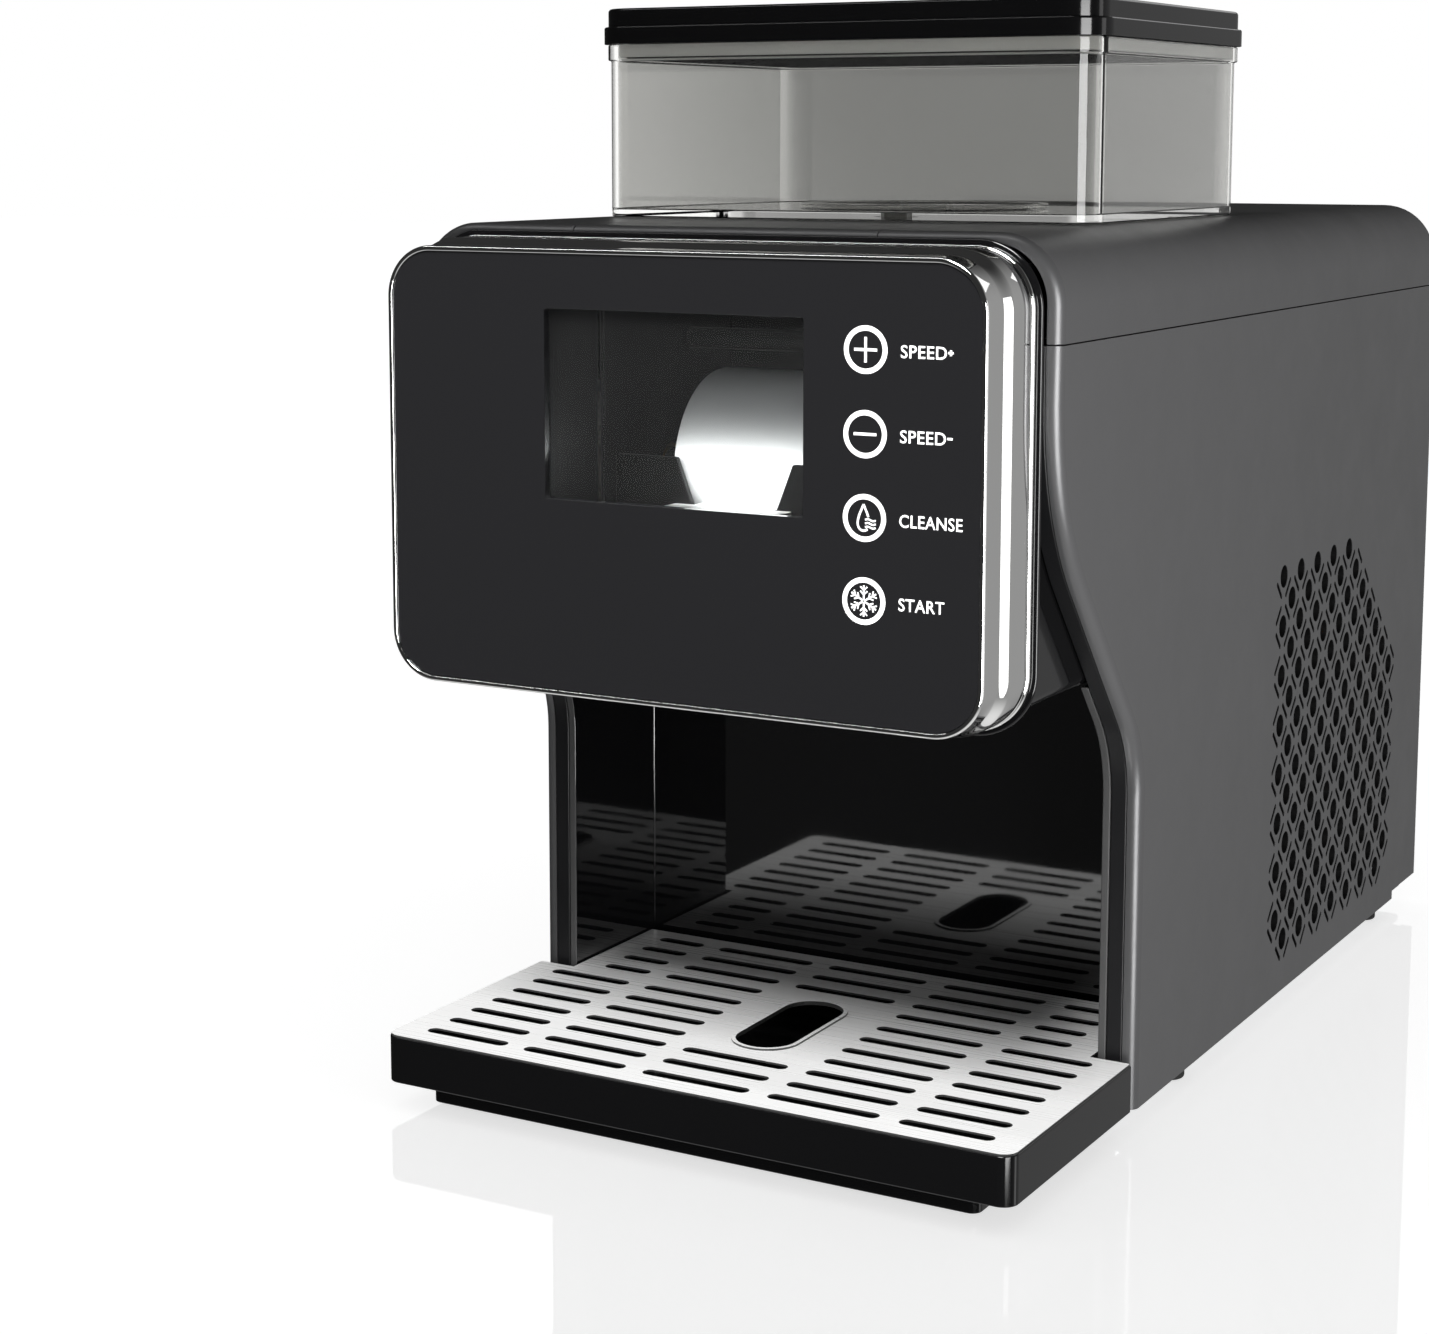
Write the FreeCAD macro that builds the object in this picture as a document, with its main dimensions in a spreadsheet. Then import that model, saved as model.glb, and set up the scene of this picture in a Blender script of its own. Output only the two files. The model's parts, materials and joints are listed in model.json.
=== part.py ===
import FreeCAD, Part
import Sketcher
import math
import os
import re

# Countertop snow-ice maker.  Millimetres, +Z up, the front faces -Y, the floor is Z = 0 and the
# overall box is centred on X = 0, Y = 0.  A lidded tank on top feeds a cold drum in the head; a
# scraper sheds snow from the drum through a chute into a bowl that stands on the drip grille.

SIZES = {
    # casing
    "width": 260.0, "depth": 488.0, "foot_height": 9.0, "body_height": 326.3,
    "seam_height": 289.0, "seam_gap": 0.5, "bezel_depth": 35.0,
    "neck_setback": 82.5, "neck_low": 135.0, "neck_high": 231.0,
    "neck_low_round": 46.0, "neck_high_round": 102.0,
    "side_depth": 5.3, "side_skin": 2.5, "rim": 2.2, "edge_round": 4.2,
    "top_round": 24.0, "top_skin": 3.5, "back_step": 4.0, "back_step_length": 37.0,
    "gap": 0.3, "sheet_wall": 2.0, "back_wall": 2.5,
    "foot_radius": 7.0, "foot_inset_x": 13.0, "foot_front_y": -58.0, "foot_back_y": 200.0,
    "base_wall": 2.5,
    # vents
    "vent_pitch_y": 22.3, "vent_pitch_z": 10.42, "vent_hole_radius": 4.7, "vent_first_y": 31.5,
    "vent_top_height": 179.0, "dash_length": 9.8, "dash_width": 2.1,
    # bowl bay and head
    "bay_half": 115.0, "bay_depth": 62.5, "liner_wall": 3.0, "head_half": 118.0,
    "head_height": 163.0, "head_top_height": 316.0, "head_edge_round": 5.0,
    # front module
    "bezel_half": 121.5, "bezel_low": 157.5, "bezel_high": 321.5, "bezel_round": 21.0,
    "bezel_wall": 4.2, "bezel_tier": 16.0, "bezel_step": 1.6, "ring_wall": 2.0, "ring_lip": 2.6,
    "panel_wall": 3.0, "panel_recess": 0.7, "panel_fit": 0.2,
    "window_half": 51.7, "window_low": 230.6, "window_high": 298.0, "pane_wall": 1.5,
    "carrier_wall": 2.5, "tunnel_wall": 2.5, "tunnel_sink": 9.0, "tunnel_lift": 2.5,
    "button_x": 75.0, "button_top": 288.2, "button_pitch": 28.0, "board_wall": 1.6,
    # drum train
    "drum_y": -157.0, "drum_height": 235.0, "drum_radius": 37.0, "drum_length": 56.0,
    "drum_wall": 2.5, "shaft_radius": 6.0, "shaft_fit": 0.03, "chamber_half": 50.0,
    "bearing_length": 8.0, "bearing_radius": 14.0, "gear_module": 1.25, "gear_teeth": 48.0,
    "pinion_teeth": 16.0, "gear_width": 8.0, "gear_x": -70.0, "motor_radius": 26.0,
    "motor_length": 33.0, "motor_shaft_radius": 4.0, "scraper_half": 24.0, "scraper_height": 224.5,
    "scraper_wall": 1.2, "scraper_gap": 0.4, "chute_wall": 2.0, "chute_half": 34.0,
    "chute_drop": 6.0, "pipe_radius": 4.0, "pipe_wall": 1.0, "pipe_clear": 7.0,
    # tank
    "tank_half": 104.3, "tank_depth": 159.2, "tank_y": -42.0, "tank_round": 12.0,
    "tank_wall": 2.5, "tank_floor": 3.0, "tank_rim_height": 61.4, "tank_height": 67.4,
    "tank_rim": 1.2, "tank_boss_radius": 50.0, "outlet_radius": 9.0, "outlet_bore": 6.5,
    "lid_half": 107.0, "lid_skirt": 6.7, "lid_top": 7.1, "lid_step": 1.6, "lid_wall": 2.5,
    "lid_plug": 6.0,
    # tray
    "tray_inset": 5.0, "tray_back_gap": 3.8, "tray_rim_height": 19.5, "tray_wall": 2.5,
    "tray_lift": 0.8, "grille_wall": 0.8, "grille_inset": 0.5, "grille_round": 6.0,
    "basin_half": 114.0, "basin_lift": 2.0, "basin_inset": 8.0,
    "slot_width": 5.5, "slot_pitch": 14.5, "slot_long": 44.0, "slot_end": 36.0,
    "slot_short": 21.0, "slot_gap": 8.0, "slot_first": 12.5, "oval_width": 24.0,
    "oval_length": 61.0, "oval_rim": 1.6, "rear_slot_shift": 2.4, "tray_side_fit": 0.7,
    # machine room
    "compressor_x": -48.0, "compressor_y": 150.0, "compressor_radius": 50.0,
    "compressor_height": 118.0, "mount_height": 14.0, "condenser_wall": 26.0,
    "fan_y": 112.0, "fan_height": 84.0, "fan_radius": 50.0, "fan_hub": 16.0, "tube_radius": 4.0,
    "capillary_radius": 2.0, "drier_radius": 9.0, "tube_height": 235.0,
    "inlet_x": -87.0, "inlet_height": 43.0, "switch_height": 72.0, "rocker_tip": 9.0,
}

doc = FreeCAD.newDocument("ice_maker")
sheet = doc.addObject("Spreadsheet::Sheet", "Sizes")
for row, (alias, value) in enumerate(SIZES.items(), start=1):
    sheet.set("A%d" % row, alias)
    sheet.set("B%d" % row, str(value))
    sheet.setAlias("B%d" % row, alias)
doc.recompute()

PARTS = []
AXES = "xyz"
ORIGIN_PLANES = {"z": "XY_Plane", "y": "XZ_Plane", "x": "YZ_Plane"}


def bound(text):
    """The expression with each size alias read from the sheet."""
    return re.sub(r"[a-z_]+", lambda m: "Sizes." + m.group() if m.group() in SIZES else m.group(),
                  str(text))


def number(text):
    """The expression's present value."""
    value = sheet.evalExpression(bound(text))
    return float(getattr(value, "Value", value))


def sub_part(solid, node):
    """Registers a finished piece under its node name."""
    solid.Label = node
    PARTS.append(solid)
    return solid


def bind(item, **values):
    """Binds properties to expressions; x, y and z are the placement's base."""
    for name, text in values.items():
        path = "Placement.Base." + name if name in AXES else name
        item.setExpression(path, bound(text))


def block(name, xs, ys, zs):
    """A box between low and high values on each axis."""
    solid = doc.addObject("Part::Box", name)
    for prop, (low, high) in zip(("Length", "Width", "Height"), (xs, ys, zs)):
        solid.setExpression(prop, bound("(%s) - (%s)" % (high, low)))
    bind(solid, x=xs[0], y=ys[0], z=zs[0])
    return solid


def rod(name, axis, centre, span, radius):
    """A cylinder along an axis: centre is its place on the other two, span its two ends."""
    solid = doc.addObject("Part::Cylinder", name)
    turn = {"x": (FreeCAD.Vector(0, 1, 0), 90), "y": (FreeCAD.Vector(1, 0, 0), -90),
            "z": (FreeCAD.Vector(0, 0, 1), 0)}[axis]
    solid.Placement.Rotation = FreeCAD.Rotation(*turn)
    others = [letter for letter in AXES if letter != axis]
    bind(solid, Radius=radius, Height="(%s) - (%s)" % (span[1], span[0]))
    bind(solid, **{axis: span[0], others[0]: centre[0], others[1]: centre[1]})
    return solid


def fuse(name, *solids):
    joined = doc.addObject("Part::MultiFuse", name)
    joined.Shapes = list(solids)
    joined.Refine = True
    return joined


def cut(name, base, *tools):
    """Takes each tool from the base in turn."""
    for i, tool in enumerate(tools):
        result = doc.addObject("Part::Cut", name if i == 0 else "%s_%d" % (name, i))
        result.Base = base
        result.Tool = tool
        base = result
    return base


def common(name, base, tool):
    result = doc.addObject("Part::Common", name)
    result.Base = base
    result.Tool = tool
    return result


def gather(name, solids):
    """Like pieces that share one node."""
    group = doc.addObject("Part::Compound", name)
    group.Links = solids
    return group


def free_solid(name, shape):
    """A piece whose shape is worked out here from the sheet's values."""
    solid = doc.addObject("Part::Feature", name)
    solid.Shape = shape
    return solid


def edge_numbers(shape, test):
    """Numbers of the edges whose bounding box passes the test."""
    return [i for i, edge in enumerate(shape.Edges, start=1) if test(edge.BoundBox)]


def at(low, high, value, slack=0.01):
    """True when an edge's extent on one axis is just this value."""
    return abs(low - value) < slack and abs(high - value) < slack


def rounded(name, base, radius, test):
    """Rounds the edges of a solid that pass the test."""
    doc.recompute()
    result = doc.addObject("Part::Fillet", name)
    result.Base = base
    size = number(radius)
    result.Edges = [(i, size, size) for i in edge_numbers(base.Shape, test)]
    return result


def add_corner_loop(sketch, corners):
    """A closed loop of straight runs; each corner is (u, v, radius) where two runs meet."""
    count = len(corners)
    spots = [FreeCAD.Vector(number(u), number(v), 0) for u, v, _ in corners]
    rounds = [number(radius) for _, _, radius in corners]
    starts, ends, centres = [], [], []
    for i, here in enumerate(spots):
        back = spots[i - 1] - here
        ahead = spots[(i + 1) % count] - here
        back, ahead = back * (1 / back.Length), ahead * (1 / ahead.Length)
        half = back.getAngle(ahead) / 2
        reach = rounds[i] / math.tan(half)
        middle = back + ahead
        away = rounds[i] / math.sin(half) / middle.Length if rounds[i] else 0
        starts.append(here + back * reach)
        ends.append(here + ahead * reach)
        centres.append(here + middle * away)
    runs = [sketch.addGeometry(Part.LineSegment(ends[i], starts[(i + 1) % count]), False)
            for i in range(count)]
    for i, (u, v, radius) in enumerate(corners):
        before, after = runs[i - 1], runs[i]
        point = sketch.addGeometry(Part.Point(spots[i]), True)
        if rounds[i]:
            first, last = starts[i] - centres[i], ends[i] - centres[i]
            left_turn = first.cross(last).z > 0
            angles = [math.atan2(arm.y, arm.x) for arm in (first, last)]
            if not left_turn:
                angles.reverse()
            circle = Part.Circle(centres[i], FreeCAD.Vector(0, 0, 1), rounds[i])
            arc = sketch.addGeometry(Part.ArcOfCircle(circle, *angles), False)
            enter, leave = (1, 2) if left_turn else (2, 1)
            sketch.addConstraint(Sketcher.Constraint("Tangent", before, 2, arc, enter))
            sketch.addConstraint(Sketcher.Constraint("Tangent", arc, leave, after, 1))
            sketch.addConstraint(Sketcher.Constraint("PointOnObject", point, 1, before))
            sketch.addConstraint(Sketcher.Constraint("PointOnObject", point, 1, after))
            tie_size(sketch, Sketcher.Constraint("Radius", arc, rounds[i]), radius)
        else:
            sketch.addConstraint(Sketcher.Constraint("Coincident", before, 2, after, 1))
            sketch.addConstraint(Sketcher.Constraint("Coincident", before, 2, point, 1))
        tie_place(sketch, point, 1, spots[i], u, v)


def add_circle(sketch, u, v, radius):
    centre = FreeCAD.Vector(number(u), number(v), 0)
    size = number(radius)
    ring = sketch.addGeometry(Part.Circle(centre, FreeCAD.Vector(0, 0, 1), size), False)
    tie_size(sketch, Sketcher.Constraint("Radius", ring, size), radius)
    tie_place(sketch, ring, 3, centre, u, v)


def tie_size(sketch, constraint, text):
    """Adds a dimension to a sketch and binds it to an expression."""
    index = sketch.addConstraint(constraint)
    name = "size%d" % index
    sketch.renameConstraint(index, name)
    sketch.setExpression("Constraints." + name, bound(text))


def tie_place(sketch, item, end, spot, u, v):
    """Holds a sketch point at (u, v) from the sketch's origin."""
    tie_size(sketch, Sketcher.Constraint("DistanceX", -1, 1, item, end, spot.x), u)
    tie_size(sketch, Sketcher.Constraint("DistanceY", -1, 1, item, end, spot.y), v)


def add_sketch(body, axis, *loops):
    """A sketch on the body's own origin plane; a loop is corners, or one (u, v, radius)."""
    sketch = body.newObject("Sketcher::SketchObject", body.Name + "_sketch")
    plane = [item for item in body.Origin.OriginFeatures if item.Role == ORIGIN_PLANES[axis]][0]
    sketch.AttachmentSupport = [(plane, "")]
    sketch.MapMode = "FlatFace"
    for loop in loops:
        if isinstance(loop, tuple):
            add_circle(sketch, *loop)
        else:
            add_corner_loop(sketch, loop)
    return sketch


def plate(name, axis, span, *loops):
    """A body padded along an axis between two values; the first loop is its outline."""
    body = doc.addObject("PartDesign::Body", name)
    pad = body.newObject("PartDesign::Pad", name + "_pad")
    pad.Profile = add_sketch(body, axis, *loops)
    bind(pad, Length="(%s) - (%s)" % (span[1], span[0]))
    pad.Reversed = axis == "y"
    bind(body, **{axis: span[0]})
    return body


def round_body(body, radius, test):
    """Rounds the edges of a body's last feature that pass the test."""
    doc.recompute()
    last = body.Tip
    feature = body.newObject("PartDesign::Fillet", body.Name + "_round")
    feature.Base = (last, ["Edge%d" % i for i in edge_numbers(body.Shape, test)])
    bind(feature, Radius=radius)
    return feature


def rectangle(us, vs, radius="0"):
    """Corners of a rectangle with equally rounded corners."""
    return [(us[0], vs[0], radius), (us[1], vs[0], radius), (us[1], vs[1], radius),
            (us[0], vs[1], radius)]


def pm(text):
    """Low and high values of a span centred on zero."""
    return ("-(%s)" % text, "(%s)" % text)


def grown(span, margin):
    """A span made larger by a margin at both ends."""
    return ("%s - (%s)" % (span[0], margin), "%s + (%s)" % (span[1], margin))


# Shared planes and spans, as expressions.
HALF = "(width / 2)"
FRONT = "(-depth / 2)"
BACK = "(depth / 2)"
HEAD_FRONT = "(-depth / 2 + bezel_depth)"
LEG_FRONT = "(-depth / 2 + bezel_depth + neck_setback)"
BAY_BACK = "(-depth / 2 + bezel_depth + neck_setback + bay_depth)"
SHELL_LOW = "foot_height"
SHELL_TOP = "(foot_height + body_height)"
SEAM = "(foot_height + seam_height)"
INNER_HALF = "(width / 2 - side_depth - gap)"
BASE_TOP = "(foot_height + base_wall / 5)"
HEAD_LOW = "(foot_height + head_height)"
HEAD_TOP = "(foot_height + head_top_height)"
NECK_SLOPE = "(neck_setback / (neck_high - neck_low))"
NECK_SHIFT = "((sqrt(1 + %s^2) - 1) / %s)" % (NECK_SLOPE, NECK_SLOPE)
COVER_BACK = "(depth / 2 - gap - back_wall)"


def neck_corners(inset, low, high):
    """The S-shaped front edge from low to high, moved back from the surface by an inset."""
    shift = "%s * (%s)" % (NECK_SHIFT, inset)
    return [("%s + %s" % (LEG_FRONT, inset), low, "0"),
            ("%s + %s" % (LEG_FRONT, inset), "foot_height + neck_low + " + shift,
             "neck_low_round + (%s)" % inset),
            ("%s + %s" % (HEAD_FRONT, inset), "foot_height + neck_high + " + shift,
             "neck_high_round - (%s)" % inset),
            ("%s + %s" % (HEAD_FRONT, inset), high, "0")]


# ---- base -------------------------------------------------------------------------------------

def make_base():
    plate_low = "foot_height + base_wall / 5 - base_wall"
    sub_part(plate("base", "z", (plate_low, BASE_TOP),
                   rectangle(pm(INNER_HALF), ("%s + gap" % LEG_FRONT, COVER_BACK), "3")),
             "base_plate")
    feet = [rod("foot_%d" % i, "z", (x, y), ("0", plate_low), "foot_radius")
            for i, (x, y) in enumerate((x, y) for x in pm("width / 2 - foot_inset_x")
                                       for y in ("foot_front_y", "foot_back_y"))]
    sub_part(gather("foot_group", feet), "feet")


# ---- side panels ------------------------------------------------------------------------------

def side_outline(inset):
    """Outline of a side panel in Y and Z, moved inwards by an inset."""
    step_y = "%s - back_step_length" % BACK
    low = "%s + %s" % (SHELL_LOW, inset)
    corners = neck_corners(inset, low, "%s - (%s)" % (SEAM, inset))
    corners += [("%s - %s" % (BACK, inset), "%s - (%s)" % (SEAM, inset), "0"),
                ("%s - %s" % (BACK, inset), low + " + back_step", "0"),
                (step_y, low + " + back_step", "0"), (step_y, low, "0")]
    return corners


def vent_tool(name, side):
    """Holes of the vent field: rows of round holes, with a slanted dash between diagonal pairs."""
    pitch_y, pitch_z = number("vent_pitch_y"), number("vent_pitch_z")
    first_y, top = number("vent_first_y"), number("foot_height + vent_top_height")
    radius = number("vent_hole_radius")
    half_long, half_wide = number("dash_length / 2"), number("dash_width / 2")
    counts = [5, 5, 6, 6, 7, 7, 8, 7, 8, 7, 8, 7, 8, 7, 8, 7]
    outer = number("width / 2") + 1
    deep = number("side_depth") + 3
    start = outer - deep if side > 0 else -outer
    along = FreeCAD.Vector(1, 0, 0)
    solids = []
    spots = {}
    for row, count in enumerate(counts):
        for column in range(count):
            y = first_y + (column + (row % 2) / 2) * pitch_y
            spots[(row, 2 * column + row % 2)] = (y, top - row * pitch_z)
    for y, z in spots.values():
        solids.append(Part.makeCylinder(radius, deep, FreeCAD.Vector(start, y, z), along))
    dashes = set()
    for row, step in spots:
        for rise in (-1, 1):
            for shift in (-1, 1):
                dashes.add((2 * row + rise, 2 * step + shift))
    last_row = 2 * (len(counts) - 1)
    for row, step in sorted(dashes):
        if row < 0 or row > last_row + 1:
            continue
        y = first_y + step * pitch_y / 4
        z = top - row * pitch_z / 2
        # a dash stands square to the line between its two holes
        leans_back = ((row - 1) // 2 + (step - 1) // 2) % 2 == 0
        angle = math.degrees(math.atan2(pitch_y, 2 * pitch_z)) * (1 if leans_back else -1)
        reach = half_long - half_wide
        dash = Part.makeBox(deep, 2 * reach, 2 * half_wide, FreeCAD.Vector(start, -reach, -half_wide))
        ends = [Part.makeCylinder(half_wide, deep, FreeCAD.Vector(start, end, 0), along)
                for end in (-reach, reach)]
        dash = dash.multiFuse(ends).removeSplitter()
        dash.rotate(FreeCAD.Vector(0, 0, 0), along, angle)
        dash.translate(FreeCAD.Vector(0, y, z))
        solids.append(dash)
    return free_solid(name, Part.makeCompound(solids))


def make_side_panel(node, side):
    """A tray-shaped panel: an outer skin with a rim, rounded on its front and back edges."""
    outer = "width / 2" if side > 0 else "-width / 2"
    inner = "width / 2 - side_depth" if side > 0 else "side_depth - width / 2"
    span = (inner, outer) if side > 0 else (outer, inner)
    body = plate(node + "_body", "x", span, side_outline("0"))
    doc.recompute()
    edge_x = number(outer)
    front, back = number(LEG_FRONT) + 1, number(BACK)
    low = number("foot_height + back_step") + 0.1
    round_body(body, "edge_round", lambda box: at(box.XMin, box.XMax, edge_x)
               and (box.YMax < front or (at(box.YMin, box.YMax, back) and box.ZMin > low)))
    hollow = plate(node + "_hollow", "x",
                   ("%s - 1" % inner, "%s - side_skin" % outer) if side > 0
                   else ("%s + side_skin" % outer, "%s + 1" % inner), side_outline("rim + 1.6"))
    sub_part(cut(node + "_panel", body, hollow, vent_tool(node + "_vents", side)), node)


# ---- top cover and the insert in its front edge -----------------------------------------------

def cover_solid(name):
    """The cover's outside: an arch section carried from front to back, its ends rounded."""
    low = "%s + seam_gap" % SEAM
    body = plate(name, "y", (HEAD_FRONT, BACK),
                 [("-" + HALF, low, "0"), (HALF, low, "0"), (HALF, SHELL_TOP, "top_round"),
                  ("-" + HALF, SHELL_TOP, "top_round")])
    doc.recompute()
    front, back, floor = number(HEAD_FRONT), number(BACK), number(low)
    round_body(body, "edge_round", lambda box: (at(box.YMin, box.YMax, front)
               or at(box.YMin, box.YMax, back)) and box.ZMax > floor + 0.1)
    return body


def cover_hollow(name, trim):
    """The space inside the cover; its roof is the cover's skin less a trim."""
    low = "%s - 5" % SEAM
    half = "(width / 2 - side_depth - %s)" % trim
    top = "%s - top_skin - %s" % (SHELL_TOP, trim)
    return plate(name, "y", ("%s - 5" % HEAD_FRONT, "%s - side_depth" % BACK),
                 [("-" + half, low, "0"), (half, low, "0"), (half, top, "top_round - 4"),
                  ("-" + half, top, "top_round - 4")])


def make_top_cover():
    insert_half = "(bezel_half / 2 + 1)"
    insert_back = "(tank_y - tank_depth / 2 - 4)"
    zone = (pm(insert_half), ("%s - 1" % HEAD_FRONT, insert_back),
            ("%s - top_skin - 1" % SHELL_TOP, "%s + 1" % SHELL_TOP))
    notch = block("insert_zone", *zone)
    inner_zone = (grown(zone[0], "-gap"), (zone[1][0], zone[1][1] + " - gap"), zone[2])
    insert_shell = cut("insert_shell", cover_solid("insert_outside"), cover_hollow("insert_inside", "0"))
    sub_part(common("insert", insert_shell, block("insert_box", *inner_zone)), "top_insert")
    socket_hole = rod("socket_hole", "z", ("0", "tank_y"), (SEAM, "%s + 1" % SHELL_TOP),
                      "outlet_radius + 4 + gap")
    sub_part(cut("cover", cover_solid("cover_outside"), cover_hollow("cover_inside", "0"), notch,
                 socket_hole), "top_cover")


# ---- neck trims, bay liner, head housing, bulkhead --------------------------------------------

def make_neck_trims():
    """Black fronts of the two walls, following the S-shaped edge below the seam."""
    corners = neck_corners("0", BASE_TOP, SEAM)
    corners += list(reversed(neck_corners("liner_wall", BASE_TOP, SEAM)))
    trims = [plate("trim_%d" % i, "x", span, corners)
             for i, span in enumerate((("head_half + gap", INNER_HALF),
                                       ("-" + INNER_HALF, "-(head_half + gap)")))]
    sub_part(gather("trims", trims), "neck_trims")


def make_bay_liner():
    """Glossy walls of the bowl bay: two sides, whose fronts follow the neck, and a back."""
    back = "%s + liner_wall" % BAY_BACK
    corners = neck_corners("0", "%s + gap" % BASE_TOP, SEAM)
    corners += [(back, SEAM, "0"), (back, "%s + gap" % BASE_TOP, "0")]
    outside = plate("liner_outside", "x", pm("head_half"), corners)
    under_head = block("liner_zone", pm("head_half + 5"), (FRONT, back + " + 5"),
                       (SHELL_LOW, "%s - gap" % HEAD_LOW))
    inside = block("bay_space", pm("bay_half"), (FRONT, BAY_BACK), ("0", SEAM))
    sub_part(cut("bay", common("bay_walls", outside, under_head), inside), "bay_liner")


def make_head_housing():
    """Open-topped black box of the head; its floor is the bay's ceiling, with the chute's hole."""
    back = "%s + liner_wall" % BAY_BACK
    box = block("head_box", pm("head_half"), (HEAD_FRONT, back), (HEAD_LOW, HEAD_TOP))
    doc.recompute()
    side, low, front = number("head_half"), number(HEAD_LOW), number(HEAD_FRONT)
    soft = rounded("head_soft", box, "head_edge_round",
                   lambda b: at(b.ZMin, b.ZMax, low) and (at(b.XMin, b.XMax, side)
                                                          or at(b.XMin, b.XMax, -side)))
    inside = block("head_space", pm("head_half - liner_wall"), ("%s - 1" % HEAD_FRONT, back + " + 1"),
                   ("%s + liner_wall" % HEAD_LOW, "%s + 1" % HEAD_TOP))
    hole = block("chute_hole", pm("chute_half + chute_wall + gap"), CHUTE_HOLE_Y,
                 ("%s - 1" % HEAD_LOW, "%s + liner_wall + 1" % HEAD_LOW))
    sub_part(cut("head", soft, inside, hole), "head_housing")


def make_bulkhead():
    """Steel sheet between the head and the machine room, with the holes for the tubes."""
    low = "%s + liner_wall + gap" % BAY_BACK
    sheet_body = block("bulkhead_sheet", pm("head_half"), (low, low + " + sheet_wall"),
                       (BASE_TOP, "%s - 20" % SEAM))
    holes = [rod("bulkhead_hole_%d" % i, "y", spot, (BAY_BACK, "0"), radius)
             for i, (spot, radius) in enumerate(((SUCTION_SPOT, "tube_radius + 3"),
                                                 (CAPILLARY_SPOT, "capillary_radius + 3")))]
    sub_part(cut("bulkhead_cut", sheet_body, *holes), "bulkhead")


CHUTE_Y = ("drum_y - 43", "drum_y + 7")
CHUTE_HOLE_Y = grown(CHUTE_Y, "chute_wall + gap")
TUBE_Z = "(foot_height + tube_height)"
SUCTION_SPOT = ("104", TUBE_Z)
CAPILLARY_SPOT = ("(head_half - 6 - condenser_wall / 2)", "(foot_height + 203)")


# ---- rear cover -------------------------------------------------------------------------------

INLET_Z = "(foot_height + inlet_height)"
SWITCH_Z = "(foot_height + switch_height)"


def make_rear_cover():
    """Back sheet with two columns of slots and the openings for the inlet and the switch."""
    low, high = "%s + back_step + gap" % SHELL_LOW, "%s - gap" % SEAM
    openings = [block("inlet_opening", ("inlet_x - 14.2", "inlet_x + 14.2"), ("0", BACK),
                      (INLET_Z + " - 11.2", INLET_Z + " + 11.2")),
                block("switch_opening", ("inlet_x - 14.2", "inlet_x + 14.2"), ("0", BACK),
                      (SWITCH_Z + " - 10.2", SWITCH_Z + " + 10.2"))]
    slots = []
    for column in ("-40", "40"):
        for step in range(9):
            z = "%s - 40 - %d" % (SEAM, 13 * step)
            slots.append(block("rear_slot", (column + " - 30", column + " + 30"), ("0", BACK),
                               (z + " - 2.5", z + " + 2.5")))
            for end in (" - 30", " + 30"):
                slots.append(rod("rear_slot_end", "y", (column + end, z), ("0", BACK), "2.5"))
    body = plate("rear_sheet", "y", (COVER_BACK, "%s + back_wall" % COVER_BACK),
                 rectangle(pm(INNER_HALF), (low, high), "2"))
    body = cut("rear_slotted", body, fuse("rear_slots", *slots), *openings)
    screw_spots = [(x, z) for x in pm("%s - 8" % INNER_HALF)
                   for z in (low + " + 12", "(%s + %s) / 2" % (low, high), high + " - 12")]
    drills = [rod("rear_screw_hole_%d" % i, "y", spot, (COVER_BACK + " - 1", BACK), "1.7")
              for i, spot in enumerate(screw_spots)]
    sub_part(cut("rear", body, *drills), "rear_cover")
    screws = []
    for i, spot in enumerate(screw_spots):
        stem = rod("rear_screw_stem_%d" % i, "y", spot, (COVER_BACK + " - 7", BACK), "1.6")
        head = rod("rear_screw_head_%d" % i, "y", spot, (COVER_BACK + " + back_wall", BACK + " + 1.4"),
                   "3.2")
        trim = rod("rear_screw_trim_%d" % i, "y", spot, (COVER_BACK + " + back_wall", BACK), "3.2")
        screws.append(fuse("rear_screw_%d" % i, stem, common("rear_screw_cap_%d" % i, head, trim)))
    sub_part(gather("rear_screw_group", screws), "rear_screws")


# ---- front module -----------------------------------------------------------------------------

BEZEL_Z = ("(foot_height + bezel_low)", "(foot_height + bezel_high)")
BEZEL_BACK = "(%s - ring_wall - gap)" % HEAD_FRONT
WINDOW_Z = ("(foot_height + window_low)", "(foot_height + window_high)")
PANEL_FRONT = "(%s + panel_recess)" % FRONT
CARRIER_FRONT = "(%s + panel_wall + pane_wall + 0.2)" % PANEL_FRONT
CARRIER_BACK = "(%s + carrier_wall)" % CARRIER_FRONT


def bezel_outline(inset):
    """Rounded rectangle of the front module, moved inwards by an inset."""
    return rectangle(pm("bezel_half - (%s)" % inset), grown(BEZEL_Z, "-(%s)" % inset),
                     "bezel_round - (%s)" % inset)


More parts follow.
